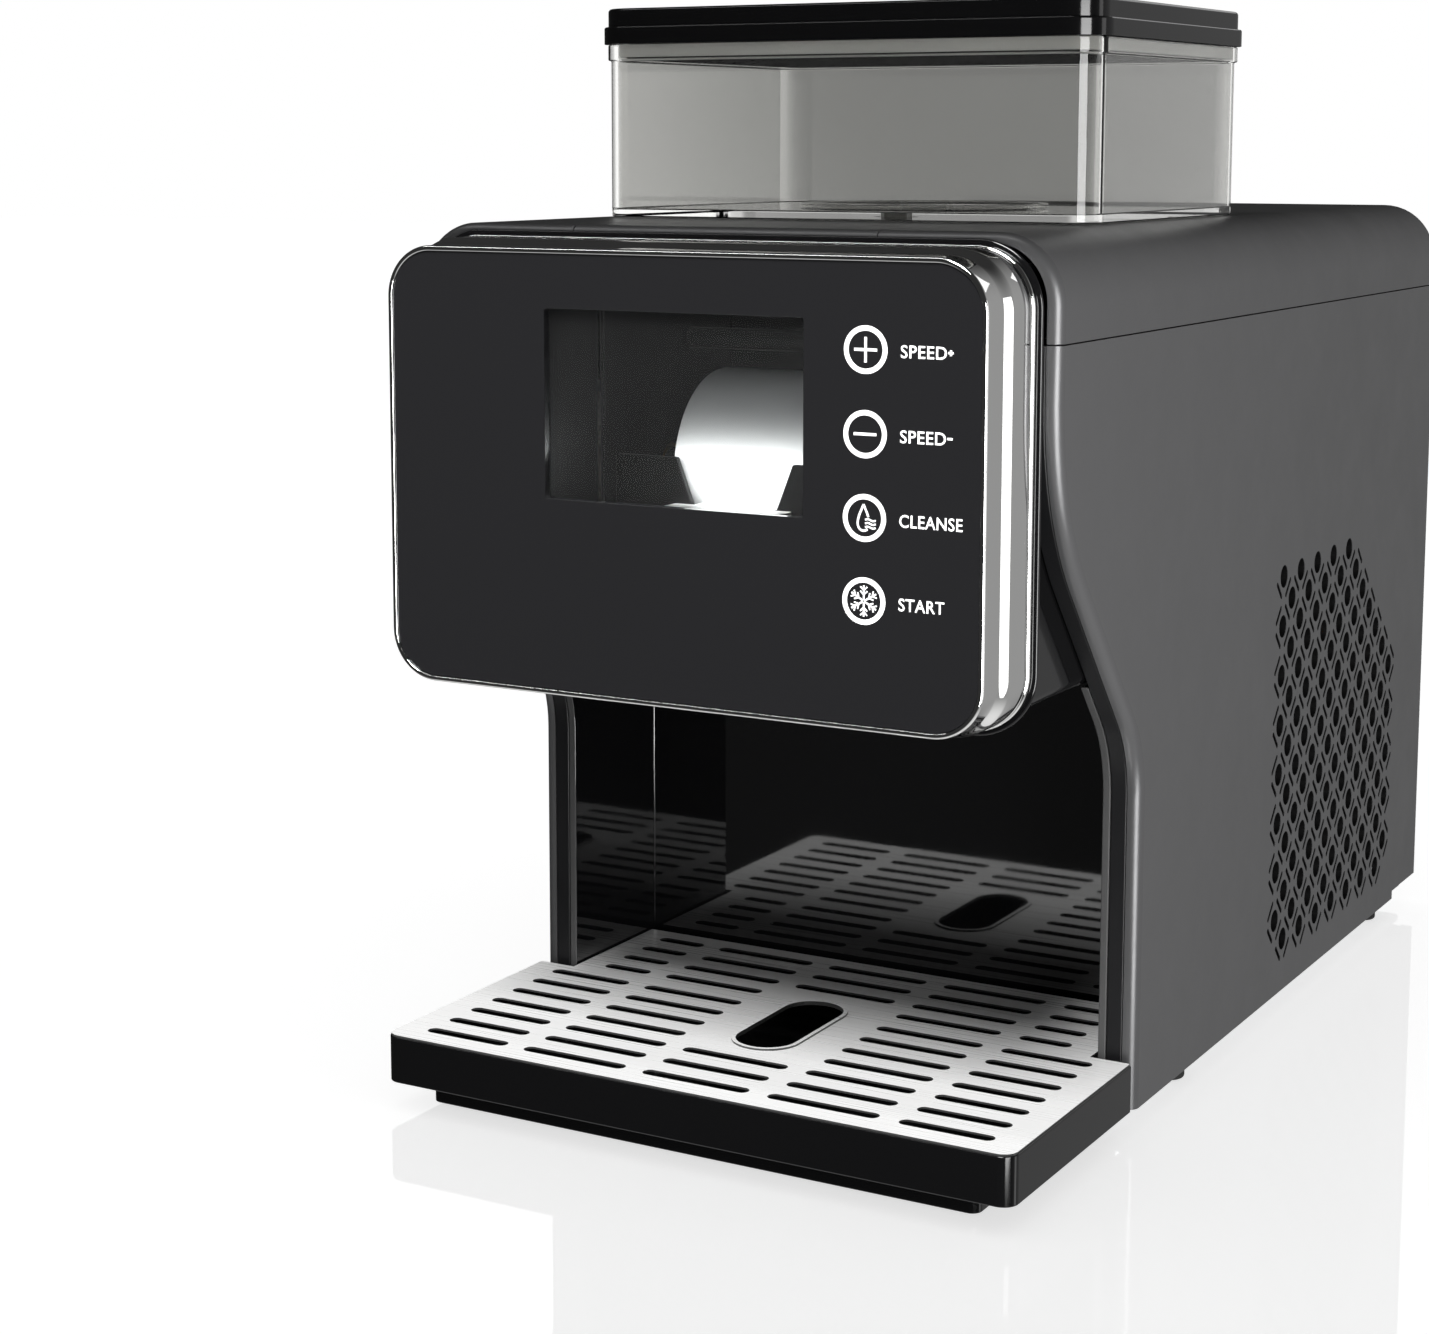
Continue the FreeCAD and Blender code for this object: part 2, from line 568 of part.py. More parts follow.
def make_front_module():
    mid = "(%s + bezel_tier)" % FRONT
    rear_tier = plate("bezel_rear_tier", "y", (mid, BEZEL_BACK), bezel_outline("0"))
    front_tier = plate("bezel_front_tier", "y", (FRONT, mid), bezel_outline("bezel_step"))
    doc.recompute()
    front = number(FRONT)
    round_body(front_tier, "1.2", lambda box: at(box.YMin, box.YMax, front))
    opening = plate("bezel_opening", "y", ("%s - 1" % FRONT, "%s + 1" % BEZEL_BACK),
                    bezel_outline("bezel_wall"))
    sub_part(cut("bezel_ring", fuse("bezel_tiers", rear_tier, front_tier), opening), "bezel")
    sub_part(plate("trim_ring_body", "y", ("%s - ring_wall" % HEAD_FRONT, "%s - gap / 2" % HEAD_FRONT),
                   bezel_outline("-ring_lip"), bezel_outline("bezel_wall + 2")), "trim_ring")
    sub_part(plate("front_panel_body", "y", (PANEL_FRONT, "%s + panel_wall" % PANEL_FRONT),
                   bezel_outline("bezel_wall + panel_fit"),
                   rectangle(pm("window_half"), WINDOW_Z, "1")), "front_panel")
    pane_front = "(%s + panel_wall + 0.1)" % PANEL_FRONT
    sub_part(plate("pane_body", "y", (pane_front, "%s + pane_wall" % pane_front),
                   rectangle(pm("window_half + 3"), grown(WINDOW_Z, "3"), "2")), "window_pane")
    sub_part(plate("carrier_body", "y", (CARRIER_FRONT, CARRIER_BACK),
                   bezel_outline("bezel_wall + panel_fit"),
                   rectangle(pm("window_half + 0.5"), grown(WINDOW_Z, "0.5"), "1")), "panel_carrier")
    make_window_tunnel()
    make_controls()


TUNNEL_BACK = "(%s + 3)" % HEAD_FRONT
TUNNEL_Z = ("(%s - tunnel_sink)" % WINDOW_Z[0], "(%s + tunnel_lift)" % WINDOW_Z[1])


def make_window_tunnel():
    """Black frame that leads the eye from the window to the drum."""
    span = ("%s + gap" % CARRIER_BACK, TUNNEL_BACK)
    sub_part(plate("tunnel_body", "y", span,
                   rectangle(pm("window_half + 1 + tunnel_wall"), grown(TUNNEL_Z, "tunnel_wall"), "3"),
                   rectangle(pm("window_half + 1"), TUNNEL_Z, "1")), "window_tunnel")


def make_controls():
    """Touch board behind the four touch marks."""
    board_front = "(%s + 4)" % CARRIER_BACK
    low = "foot_height + button_top - 3 * button_pitch - 12"
    high = "foot_height + button_top + 12"
    sub_part(plate("board_body", "y", (board_front, "%s + board_wall" % board_front),
                   rectangle(("button_x - 15", "button_x + 33"), (low, high), "1.5")),
             "control_board")


# ---- drum chamber and train -------------------------------------------------------------------

DRUM_Z = "(foot_height + drum_height)"
DRUM_SPOT = ("drum_y", DRUM_Z)
CHAMBER_BACK = "(drum_y + drum_radius + 8)"
CHAMBER_LOW = "(%s - drum_radius + 15)" % DRUM_Z
BEARING_IN = "(chamber_half + sheet_wall + 0.5)"
SHAFT_LEFT = "(gear_x - 6)"
SHAFT_RIGHT = "(%s + bearing_length + 5.5)" % BEARING_IN


def make_chamber():
    """Box around the drum, open to the window in front and to the chute below."""
    outer = (pm("chamber_half + sheet_wall"), ("%s + gap" % TUNNEL_BACK, "%s + sheet_wall" % CHAMBER_BACK),
             (CHAMBER_LOW, "%s + tunnel_wall + sheet_wall" % TUNNEL_Z[1]))
    inner = (pm("chamber_half"), (FRONT, CHAMBER_BACK), ("0", "%s + tunnel_wall" % TUNNEL_Z[1]))
    shaft_hole = rod("chamber_shaft_hole", "x", DRUM_SPOT, pm("100"), "shaft_radius + 2")
    pipe_hole = rod("chamber_pipe_hole", "y", ("0", PIPE_Z), ("drum_y", "0"), "pipe_radius + 0.5")
    sub_part(cut("chamber", block("chamber_outside", *outer), block("chamber_inside", *inner),
                 shaft_hole, pipe_hole), "drum_chamber")


PIPE_Z = "(%s + drum_radius + pipe_clear + pipe_radius)" % DRUM_Z


def make_drum():
    half = "(drum_length / 2)"
    outside = rod("drum_outside", "x", DRUM_SPOT, pm(half), "drum_radius")
    inside = rod("drum_inside", "x", DRUM_SPOT, pm("%s + 1" % half), "drum_radius - drum_wall")
    sub_part(cut("drum", outside, inside), "drum_shell")
    caps = []
    for i, (low, high) in enumerate((("-" + half, "-%s + 4" % half), ("%s - 4" % half, half))):
        disc = rod("cap_disc_%d" % i, "x", DRUM_SPOT, (low, high), "drum_radius - drum_wall")
        caps.append(cut("cap_%d" % i, disc, rod("cap_bore_%d" % i, "x", DRUM_SPOT,
                                                (low + " - 1", high + " + 1"), "shaft_radius")))
    sub_part(gather("cap_group", caps), "drum_end_caps")
    sub_part(rod("shaft", "x", DRUM_SPOT, (SHAFT_LEFT, SHAFT_RIGHT), "shaft_radius"), "drum_shaft")
    rings = []
    for i, span in enumerate((("-%s - bearing_length" % BEARING_IN, "-" + BEARING_IN),
                              (BEARING_IN, "%s + bearing_length" % BEARING_IN))):
        ring = rod("bearing_%d" % i, "x", DRUM_SPOT, span, "bearing_radius")
        bore = rod("bearing_bore_%d" % i, "x", DRUM_SPOT, grown(span, "1"), "shaft_radius + shaft_fit")
        rings.append(cut("bearing_ring_%d" % i, ring, bore))
    sub_part(gather("bearing_group", rings), "drum_bearings")


def gear_shape(teeth, turn, bore):
    """A spur gear about X: trapezoid teeth, slim enough to run with backlash."""
    module, wide = number("gear_module"), number("gear_width")
    pitch = module * teeth / 2
    tip, root = pitch + 0.85 * module, pitch - 1.15 * module
    step = 2 * math.pi / teeth
    points = []
    for tooth in range(teeth):
        middle = turn + tooth * step
        for radius, share in ((root, -0.30), (pitch, -0.22), (tip, -0.10), (tip, 0.10),
                              (pitch, 0.22), (root, 0.30)):
            angle = middle + share * step
            points.append(FreeCAD.Vector(0, radius * math.cos(angle), radius * math.sin(angle)))
    face = Part.Face(Part.makePolygon(points + points[:1]))
    solid = face.extrude(FreeCAD.Vector(wide, 0, 0))
    return solid.cut(Part.makeCylinder(bore, wide, FreeCAD.Vector(0, 0, 0), FreeCAD.Vector(1, 0, 0)))


def make_gears():
    """Gear on the drum shaft and the pinion behind it, in mesh on the line between their axes."""
    teeth, small = int(number("gear_teeth")), int(number("pinion_teeth"))
    left = number("gear_x") - number("gear_width") / 2
    y, z = number("drum_y"), number(DRUM_Z)
    gear = free_solid("gear", gear_shape(teeth, 0.0, number("shaft_radius")))
    gear.Placement.Base = FreeCAD.Vector(left, y, z)
    sub_part(gear, "driven_gear")
    # a pinion gap faces the gear tooth that points straight back
    turn = math.pi + math.pi / small
    pinion = free_solid("pinion", gear_shape(small, turn, number("motor_shaft_radius")))
    pinion.Placement.Base = FreeCAD.Vector(left, number(MOTOR_Y), z)
    sub_part(pinion, "drive_gear")


MOTOR_Y = "(drum_y + gear_module * (gear_teeth + pinion_teeth) / 2)"
MOTOR_SPOT = (MOTOR_Y, DRUM_Z)
MOTOR_RIGHT = "(gear_x - gear_width / 2 - 6)"


def make_motor():
    sub_part(rod("motor_shaft_rod", "x", MOTOR_SPOT, ("%s - 2" % MOTOR_RIGHT, "gear_x + gear_width / 2 + 2"),
                 "motor_shaft_radius"), "motor_shaft")
    can = rod("motor_can", "x", MOTOR_SPOT, ("%s - motor_length" % MOTOR_RIGHT, "%s - 2.5" % MOTOR_RIGHT),
              "motor_radius")
    recess = rod("motor_recess", "x", MOTOR_SPOT, ("%s - 4.5" % MOTOR_RIGHT, MOTOR_RIGHT),
                 "motor_shaft_radius + 2")
    sub_part(cut("motor", can, recess), "drum_motor")
    wall = block("bracket_wall", ("%s - 2.4" % MOTOR_RIGHT, "%s - 0.4" % MOTOR_RIGHT),
                 ("%s - motor_radius - 3" % MOTOR_Y, "%s + motor_radius + 3" % MOTOR_Y),
                 ("%s + liner_wall" % HEAD_LOW, "%s + motor_radius + 3" % DRUM_Z))
    toe = block("bracket_toe", ("%s - 2.4" % MOTOR_RIGHT, "%s + 12" % MOTOR_RIGHT),
                ("%s - motor_radius + 2" % MOTOR_Y, "%s + motor_radius + 3" % MOTOR_Y),
                ("%s + liner_wall" % HEAD_LOW, "%s + liner_wall + 2" % HEAD_LOW))
    hole = rod("bracket_hole", "x", MOTOR_SPOT, ("-200", "0"), "motor_shaft_radius + 2")
    sub_part(cut("bracket", fuse("bracket_blank", wall, toe), hole), "motor_bracket")


def make_rotary_union():
    """Fixed coupling that feeds refrigerant into the turning shaft's right end."""
    low = "(%s + bearing_length + 0.8)" % BEARING_IN
    can = rod("union_can", "x", DRUM_SPOT, (low, low + " + 28"), "12")
    foot = block("union_foot", (low, low + " + 10"), ("drum_y - 8", "drum_y + 8"),
                 ("%s + liner_wall" % HEAD_LOW, DRUM_Z))
    bore = rod("union_bore", "x", DRUM_SPOT, ("%s - 10" % SHAFT_RIGHT, "%s + 0.5" % SHAFT_RIGHT),
               "shaft_radius + shaft_fit")
    sub_part(cut("union_piece", fuse("union_blank", can, foot), bore), "rotary_union")


def make_scraper():
    """Blade whose edge stands just off the drum, held in a notched black plate."""
    blade_z = "(foot_height + scraper_height)"
    holder_y = ("drum_y - drum_radius - 5", "drum_y - drum_radius - 2")
    edge_y = "drum_y - sqrt(drum_radius^2 - (drum_height - scraper_height)^2) - scraper_gap"
    top = "foot_height + drum_height + drum_radius / 5"
    notch_low = "%s - gap / 3" % blade_z
    corners = [(pm("chamber_half - gap")[0], blade_z + " - 12", "0"),
               (pm("chamber_half - gap")[1], blade_z + " - 12", "0"),
               ("chamber_half - gap", top, "0"), ("scraper_half", top, "0"),
               ("scraper_half * 0.71", notch_low, "0"), ("-scraper_half * 0.71", notch_low, "0"),
               ("-scraper_half", top, "0"), ("-(chamber_half - gap)", top, "0")]
    holder = plate("holder_plate", "y", holder_y, corners)
    ledge = block("holder_ledge", pm("scraper_half + 6"), ("%s - 7" % holder_y[0], holder_y[1]),
                  (blade_z + " - 8", notch_low))
    sub_part(fuse("holder", holder, ledge), "scraper_holder")
    nose = "(%s - 9)" % holder_y[0]
    sub_part(plate("blade", "z", (blade_z, blade_z + " + scraper_wall"),
                   [("-scraper_half", nose, "0"), ("scraper_half", nose, "0"),
                    ("scraper_half", holder_y[0] + " - 0.2", "0"),
                    ("scraper_half * 0.68", holder_y[0] + " - 0.2", "0"),
                    ("scraper_half * 0.68", edge_y, "0"), ("-scraper_half * 0.68", edge_y, "0"),
                    ("-scraper_half * 0.68", holder_y[0] + " - 0.2", "0"),
                    ("-scraper_half", holder_y[0] + " - 0.2", "0")]), "scraper_blade")


def funnel(name, margin, low, high):
    """A tapered block between two rectangles, grown outwards by a margin."""
    ends = []
    for i, (half, ys, z) in enumerate((("chute_half", CHUTE_Y, low),
                                       ("chamber_half - 4", ("drum_y - 45", "%s - 4" % CHAMBER_BACK), high))):
        half, z = number("%s + (%s)" % (half, margin)), number(z)
        y_low, y_high = (number(y) for y in grown(ys, margin))
        spots = [FreeCAD.Vector(x, y, z) for x, y in ((-half, y_low), (half, y_low), (half, y_high),
                                                      (-half, y_high))]
        ends.append(Part.makePolygon(spots + spots[:1]))
    return free_solid(name, Part.makeLoft(ends, True, True))


def make_chute():
    """Tapered duct under the drum, then a straight spout through the head's floor."""
    waist = "%s + liner_wall + 4" % HEAD_LOW
    spout_low = "%s - chute_drop" % HEAD_LOW
    mouth = "%s - 1" % CHAMBER_LOW
    spout = block("spout_outside", pm("chute_half + chute_wall"), grown(CHUTE_Y, "chute_wall"),
                  (spout_low, waist))
    bore = block("spout_inside", pm("chute_half"), CHUTE_Y, (spout_low + " - 1", waist + " + 1"))
    outside = funnel("funnel_outside", "chute_wall", waist, mouth)
    inside = funnel("funnel_inside", "0", waist, mouth)
    sub_part(cut("chute", fuse("chute_outside", spout, outside), bore, inside), "snow_chute")


def make_feed():
    """Pipe that wets the drum, the pump behind the chamber, and the hose from the tank."""
    cross = rod("pipe_cross", "x", ("drum_y", PIPE_Z), pm("drum_length / 2 + 14"), "pipe_radius")
    tail_end = "(%s + sheet_wall + 6)" % CHAMBER_BACK
    tail = rod("pipe_tail", "y", ("0", PIPE_Z), ("drum_y", tail_end), "pipe_radius")
    bore_cross = rod("pipe_cross_bore", "x", ("drum_y", PIPE_Z), pm("drum_length / 2 + 12"),
                     "pipe_radius - pipe_wall")
    bore_tail = rod("pipe_tail_bore", "y", ("0", PIPE_Z), ("drum_y", tail_end + " + 1"),
                    "pipe_radius - pipe_wall")
    sub_part(cut("pipe", fuse("pipe_blank", cross, tail), bore_cross, bore_tail), "distributor_pipe")
    pump_y = (tail_end, tail_end + " + 18")
    case = block("pump_case", pm("20"), pump_y, (PIPE_Z + " - 24", PIPE_Z + " + 12"))
    doc.recompute()
    case = rounded("pump_soft", case, "4", lambda box: box.YLength > 1 and box.XLength < 0.01
                   and box.ZLength < 0.01)
    space = rod("pump_space", "y", ("0", PUMP_Z), ("%s + 3" % pump_y[0], "%s - 3" % pump_y[1]), "12.5")
    sub_part(cut("pump", case, space), "feed_pump")
    rollers = [rod("roller_%d" % i, "y", ("0", PUMP_Z), ("%s + 4" % pump_y[0], "%s - 4" % pump_y[1]), "3.2")
               for i in range(3)]
    hub = rod("rotor_hub", "y", ("0", PUMP_Z), ("%s + 4" % pump_y[0], "%s - 4" % pump_y[1]), "6")
    for i, roller in enumerate(rollers):
        bind(roller, x="8.5 * cos(%d deg)" % (120 * i + 90),
             z="%s + 8.5 * sin(%d deg)" % (PUMP_Z, 120 * i + 90))
    sub_part(fuse("rotor", hub, *rollers), "pump_rotor")
    make_feed_hose(pump_y[1])


PUMP_Z = "(%s - 6)" % PIPE_Z


def tube_solid(points, radius, bend):
    """A round tube on straight runs joined by arcs of one bend radius."""
    spots = [FreeCAD.Vector(*[number(value) for value in point]) for point in points]
    bend = number(bend)
    edges = []
    start = spots[0]
    for before, here, after in zip(spots, spots[1:], spots[2:]):
        back, ahead = before - here, after - here
        back, ahead = back * (1 / back.Length), ahead * (1 / ahead.Length)
        half = back.getAngle(ahead) / 2
        reach = bend / math.tan(half)
        middle = back + ahead
        centre = here + middle * (bend / math.sin(half) / middle.Length)
        enter, leave = here + back * reach, here + ahead * reach
        crown = centre + (here - centre) * (bend / (here - centre).Length)
        edges.append(Part.makeLine(start, enter))
        edges.append(Part.Arc(enter, crown, leave).toShape())
        start = leave
    edges.append(Part.makeLine(start, spots[-1]))
    path = Part.Wire(edges)
    ahead = spots[1] - spots[0]
    profile = Part.Wire(Part.makeCircle(number(radius), spots[0], ahead))
    return path.makePipeShell([profile], True, False)


def make_feed_hose(pump_back):
    """Hose from the socket under the tank, down and forward to the pump's back."""
    points = [("0", "tank_y", "%s - 20.5" % SHELL_TOP), ("0", "tank_y", PUMP_Z),
              ("0", "(%s) + 0.1" % pump_back, PUMP_Z)]
    sub_part(free_solid("hose", tube_solid(points, "tube_radius", "9")), "feed_hose")


def make_lamp():
    """Light strip under the chamber's roof, in front of the drum."""
    roof = "%s + tunnel_wall" % TUNNEL_Z[1]
    strip = block("lamp_strip", pm("40"), ("drum_y - drum_radius - 2", "drum_y - drum_radius + 8"),
                  (roof + " - 3", roof))
    doc.recompute()
    low = number(roof + " - 3")
    sub_part(rounded("lamp_soft", strip, "1.2", lambda box: at(box.ZMin, box.ZMax, low)), "drum_lamp")


# ---- tank, its outlet, lid and seal -----------------------------------------------------------

TANK_Y = ("(tank_y - tank_depth / 2)", "(tank_y + tank_depth / 2)")
TANK_LOW = "(%s + gap)" % SHELL_TOP
TANK_TOP = "(%s + tank_height)" % SHELL_TOP


def tank_block(name, inset, zs):
    """An upright block with the tank's rounded plan, moved inwards by an inset."""
    return plate(name, "z", zs, rectangle(pm("tank_half - (%s)" % inset), grown(TANK_Y, "-(%s)" % inset),
                                          "tank_round - (%s)" % inset))


def make_tank():
    rim_low = "(%s + tank_rim_height)" % SHELL_TOP
    wall = tank_block("tank_outside", "0", (TANK_LOW, TANK_TOP))
    rim = tank_block("tank_rim_block", "-tank_rim", (rim_low, TANK_TOP))
    space = tank_block("tank_space", "tank_wall", ("%s + tank_floor" % TANK_LOW, "%s + 1" % TANK_TOP))
    spot = ("0", "tank_y")
    boss = cut("tank_boss", rod("boss_outside", "z", spot, (TANK_LOW, "%s + tank_floor + 2" % TANK_LOW),
                                "tank_boss_radius"),
               rod("boss_inside", "z", spot, ("%s + tank_floor" % TANK_LOW, TANK_TOP),
                   "tank_boss_radius - 2"))
    spout = rod("tank_spout", "z", spot, ("%s - 12" % TANK_LOW, "%s + 1" % TANK_LOW), "outlet_radius")
    bore = rod("tank_bore", "z", spot, ("%s - 13" % TANK_LOW, TANK_TOP), "outlet_bore")
    hollow = cut("tank_hollow", fuse("tank_shell", wall, rim), space)
    sub_part(cut("tank_cut", fuse("tank_blank", hollow, boss, spout), bore), "tank")
    stem = rod("valve_stem", "z", spot, ("%s - 10" % TANK_LOW, "%s + tank_floor" % TANK_LOW),
               "outlet_bore")
    brim = rod("valve_brim", "z", spot, ("%s + tank_floor" % TANK_LOW, "%s + tank_floor + 1.2" % TANK_LOW),
               "outlet_bore + 2.5")
    hole = rod("valve_hole", "z", spot, ("%s - 11" % TANK_LOW, TANK_TOP), "outlet_bore - 1.6")
    sub_part(cut("valve", fuse("valve_blank", stem, brim), hole), "outlet_valve")
    collar = rod("socket_collar", "z", spot, ("%s - 14.5" % TANK_LOW, "%s - 0.4" % SHELL_TOP),
                 "outlet_radius + 4")
    nozzle = rod("socket_nozzle", "z", spot, ("%s - 20.4" % SHELL_TOP, "%s - 14" % TANK_LOW), "tube_radius")
    cup = rod("socket_cup", "z", spot, ("%s - 12.5" % TANK_LOW, SHELL_TOP), "outlet_radius + gap")
    drain = rod("socket_drain", "z", spot, ("%s - 25" % SHELL_TOP, SHELL_TOP), "tube_radius - 1.4")
    sub_part(cut("socket", fuse("socket_blank", collar, nozzle), cup, drain), "outlet_socket")


def make_lid():
    """Black lid in two steps, hollow below, with a plug that enters the tank."""
    skirt_low = "(%s + gap)" % TANK_TOP
    step_z = "(%s + lid_skirt)" % skirt_low
    top = "(%s + lid_top)" % step_z
    lip = "tank_half - lid_half"
    plug_in = "(tank_wall + 4)"
    skirt = tank_block("lid_skirt_block", lip, (skirt_low, step_z))
    upper = tank_block("lid_upper", "%s + lid_step" % lip, (step_z, top))
    doc.recompute()
    crown, shoulder = number(top), number(step_z)
    round_body(upper, "1.5", lambda box: at(box.ZMin, box.ZMax, crown))
    round_body(skirt, "0.8", lambda box: at(box.ZMin, box.ZMax, shoulder))
    plug = tank_block("lid_plug_block", plug_in, ("%s - lid_plug" % skirt_low, "%s + 1" % skirt_low))
    space = tank_block("lid_space", "%s + lid_wall" % plug_in, ("%s - lid_plug - 1" % skirt_low,
                                                              "%s - lid_wall" % top))
    sub_part(cut("lid", fuse("lid_blank", skirt, upper, plug), space), "tank_lid")
    seal_z = ("%s - lid_plug + 1" % skirt_low, "%s - 0.4" % skirt_low)
    sub_part(cut("seal", tank_block("seal_outside", "tank_wall + 0.4", seal_z),
                 tank_block("seal_inside", plug_in, grown(seal_z, "1"))), "lid_seal")


# ---- drip tray and grille ---------------------------------------------------------------------

TRAY_FRONT = "(%s + tray_inset)" % FRONT
TRAY_NECK = "(%s - tray_back_gap)" % LEG_FRONT
TRAY_BACK = "(%s - tray_back_gap)" % BAY_BACK
TRAY_LOW = "(foot_height + tray_lift)"
TRAY_RIM = "(foot_height + tray_rim_height - grille_wall)"


def tray_corners(inset):
    """Plan of the tray: wide in front of the walls, narrow between them."""
    front, neck, back = ("%s + %s" % (TRAY_FRONT, inset), "%s - (%s)" % (TRAY_NECK, inset),
                         "%s - (%s)" % (TRAY_BACK, inset))
    half, inner = "(width / 2 - %s)" % inset, "(bay_half - tray_side_fit - %s)" % inset
    soft = "grille_round - %s" % inset
    return [("-" + half, front, soft), (half, front, soft), (half, neck, "0.6"), (inner, neck, "0"),
            (inner, back, "0.6"), ("-" + inner, back, "0.6"), ("-" + inner, neck, "0"),
            ("-" + half, neck, "0.6")]


def make_tray():
    outside = plate("tray_outside", "z", (TRAY_LOW, TRAY_RIM), tray_corners("0"))
    space = plate("tray_space", "z", ("%s + tray_wall" % TRAY_LOW, "%s + 1" % TRAY_RIM),
                  tray_corners("tray_wall"))
    sump_y = ("%s + basin_inset" % TRAY_FRONT, "%s - basin_inset" % TRAY_NECK)
    sump = plate("sump_outside", "z", ("basin_lift", "%s + 1" % TRAY_LOW),
                 rectangle(pm("basin_half"), sump_y, "4"))
    sump_space = plate("sump_space", "z", ("basin_lift + tray_wall", "%s + tray_wall + 1" % TRAY_LOW),
                       rectangle(pm("basin_half - tray_wall"), grown(sump_y, "-tray_wall"), "2"))
    sub_part(cut("tray", fuse("tray_blank", outside, sump), space, sump_space), "drip_tray")


def slot_solid(x, y, length, low, high):
    """An upright solid with a rounded slot's plan, running along X."""
    wide = number("slot_width")
    straight = length - wide
    spot = FreeCAD.Vector(x - straight / 2, y - wide / 2, low)
    solid = Part.makeBox(straight, wide, high - low, spot)
    for end in (-1, 1):
        centre = FreeCAD.Vector(x + end * straight / 2, y, low)
        solid = solid.fuse(Part.makeCylinder(wide / 2, high - low, centre))
    return solid


def make_grille():
    """Stainless plate with five columns of slots and a rimmed oval finger hole."""
    low, high = number(TRAY_RIM), number("%s + grille_wall" % TRAY_RIM)
    pitch, gap = number("slot_pitch"), number("slot_gap")
    middle, end, short = (number(name) for name in ("slot_long", "slot_end", "slot_short"))
    second_x = middle + gap
    outer_x = second_x + middle / 2 + gap + end / 2
    short_x = second_x + middle / 2 + gap + short / 2
    first_y, neck = number("%s + slot_first" % TRAY_FRONT), number(TRAY_NECK)
    back = number(TRAY_BACK) - 6
    oval_y = (number(OVAL_Y[0]) - pitch * 0.75, number(OVAL_Y[1]) + pitch * 0.75)
    slots = []
    y = first_y
    while y < back:
        in_wide = y < neck - number("slot_width")
        if not oval_y[0] < y < oval_y[1]:
            slots.append(slot_solid(0, y, middle, low - 1, high + 1))
        for side in (-1, 1):
            slots.append(slot_solid(side * second_x, y, middle, low - 1, high + 1))
            x, length = (outer_x, end) if in_wide else (short_x, short)
            slots.append(slot_solid(side * x, y, length, low - 1, high + 1))
        y += pitch
        if in_wide and y >= neck - number("slot_width"):
            y += number("rear_slot_shift")
    holes = free_solid("grille_slots", Part.makeCompound(slots))
    sheet_z = (TRAY_RIM, "%s + grille_wall" % TRAY_RIM)
    flat = plate("grille_sheet", "z", sheet_z, tray_corners("grille_inset"))
    rim = plate("grille_rim", "z", (TRAY_RIM, "%s + grille_wall + 0.8" % TRAY_RIM),
                oval_corners("-oval_rim"))
    hole = plate("grille_hole", "z", grown(sheet_z, "2"), oval_corners("0"))
    sub_part(cut("grille", fuse("grille_blank", cut("grille_slotted", flat, holes), rim), hole),
             "drip_grille")


OVAL_MID = "(%s + slot_first + 5 * slot_pitch)" % TRAY_FRONT
OVAL_Y = ("(%s - oval_length / 2)" % OVAL_MID, "(%s + oval_length / 2)" % OVAL_MID)


def oval_corners(inset):
    return rectangle(pm("oval_width / 2 - (%s)" % inset), grown(OVAL_Y, "-(%s)" % inset),
                     "oval_width / 2 - (%s) - 0.05" % inset)


# ---- machine room -----------------------------------------------------------------------------

COMPRESSOR_SPOT = ("compressor_x", "compressor_y")
COMPRESSOR_LOW = "(%s + mount_height + 3)" % BASE_TOP
CONDENSER_X = ("(head_half - 6 - condenser_wall)", "(head_half - 6)")
FAN_SPOT = ("fan_y", "(foot_height + fan_height)")
FAN_X = ("(head_half - 6 - condenser_wall - 20)", "(head_half - 6 - condenser_wall - 2)")


def make_compressor():
    can = rod("compressor_can", "z", COMPRESSOR_SPOT,
              (COMPRESSOR_LOW, "%s + compressor_height" % COMPRESSOR_LOW),
              "compressor_radius")
    doc.recompute()
    soft = rounded("compressor_soft", can, "compressor_radius * 0.4", lambda box: box.ZLength < 0.01)
    foot = block("compressor_foot", ("compressor_x - 56", "compressor_x + 56"),
                 ("compressor_y - 56", "compressor_y + 56"),
                 ("%s - 3" % COMPRESSOR_LOW, "%s + 1" % COMPRESSOR_LOW))
    collar = rod("compressor_collar", "z", COMPRESSOR_SPOT, (COMPRESSOR_LOW, "%s + 30" % COMPRESSOR_LOW),
                 "compressor_radius * 0.62")
    sub_part(fuse("compressor_piece", soft, foot, collar), "compressor")
    mounts = [rod("mount_%d" % i, "z", (x, y), (BASE_TOP, "%s + mount_height" % BASE_TOP), "8")
              for i, (x, y) in enumerate((x, y) for x in ("compressor_x - 46", "compressor_x + 46")
                                         for y in ("compressor_y - 46", "compressor_y + 46"))]
    sub_part(gather("mount_group", mounts), "compressor_mounts")


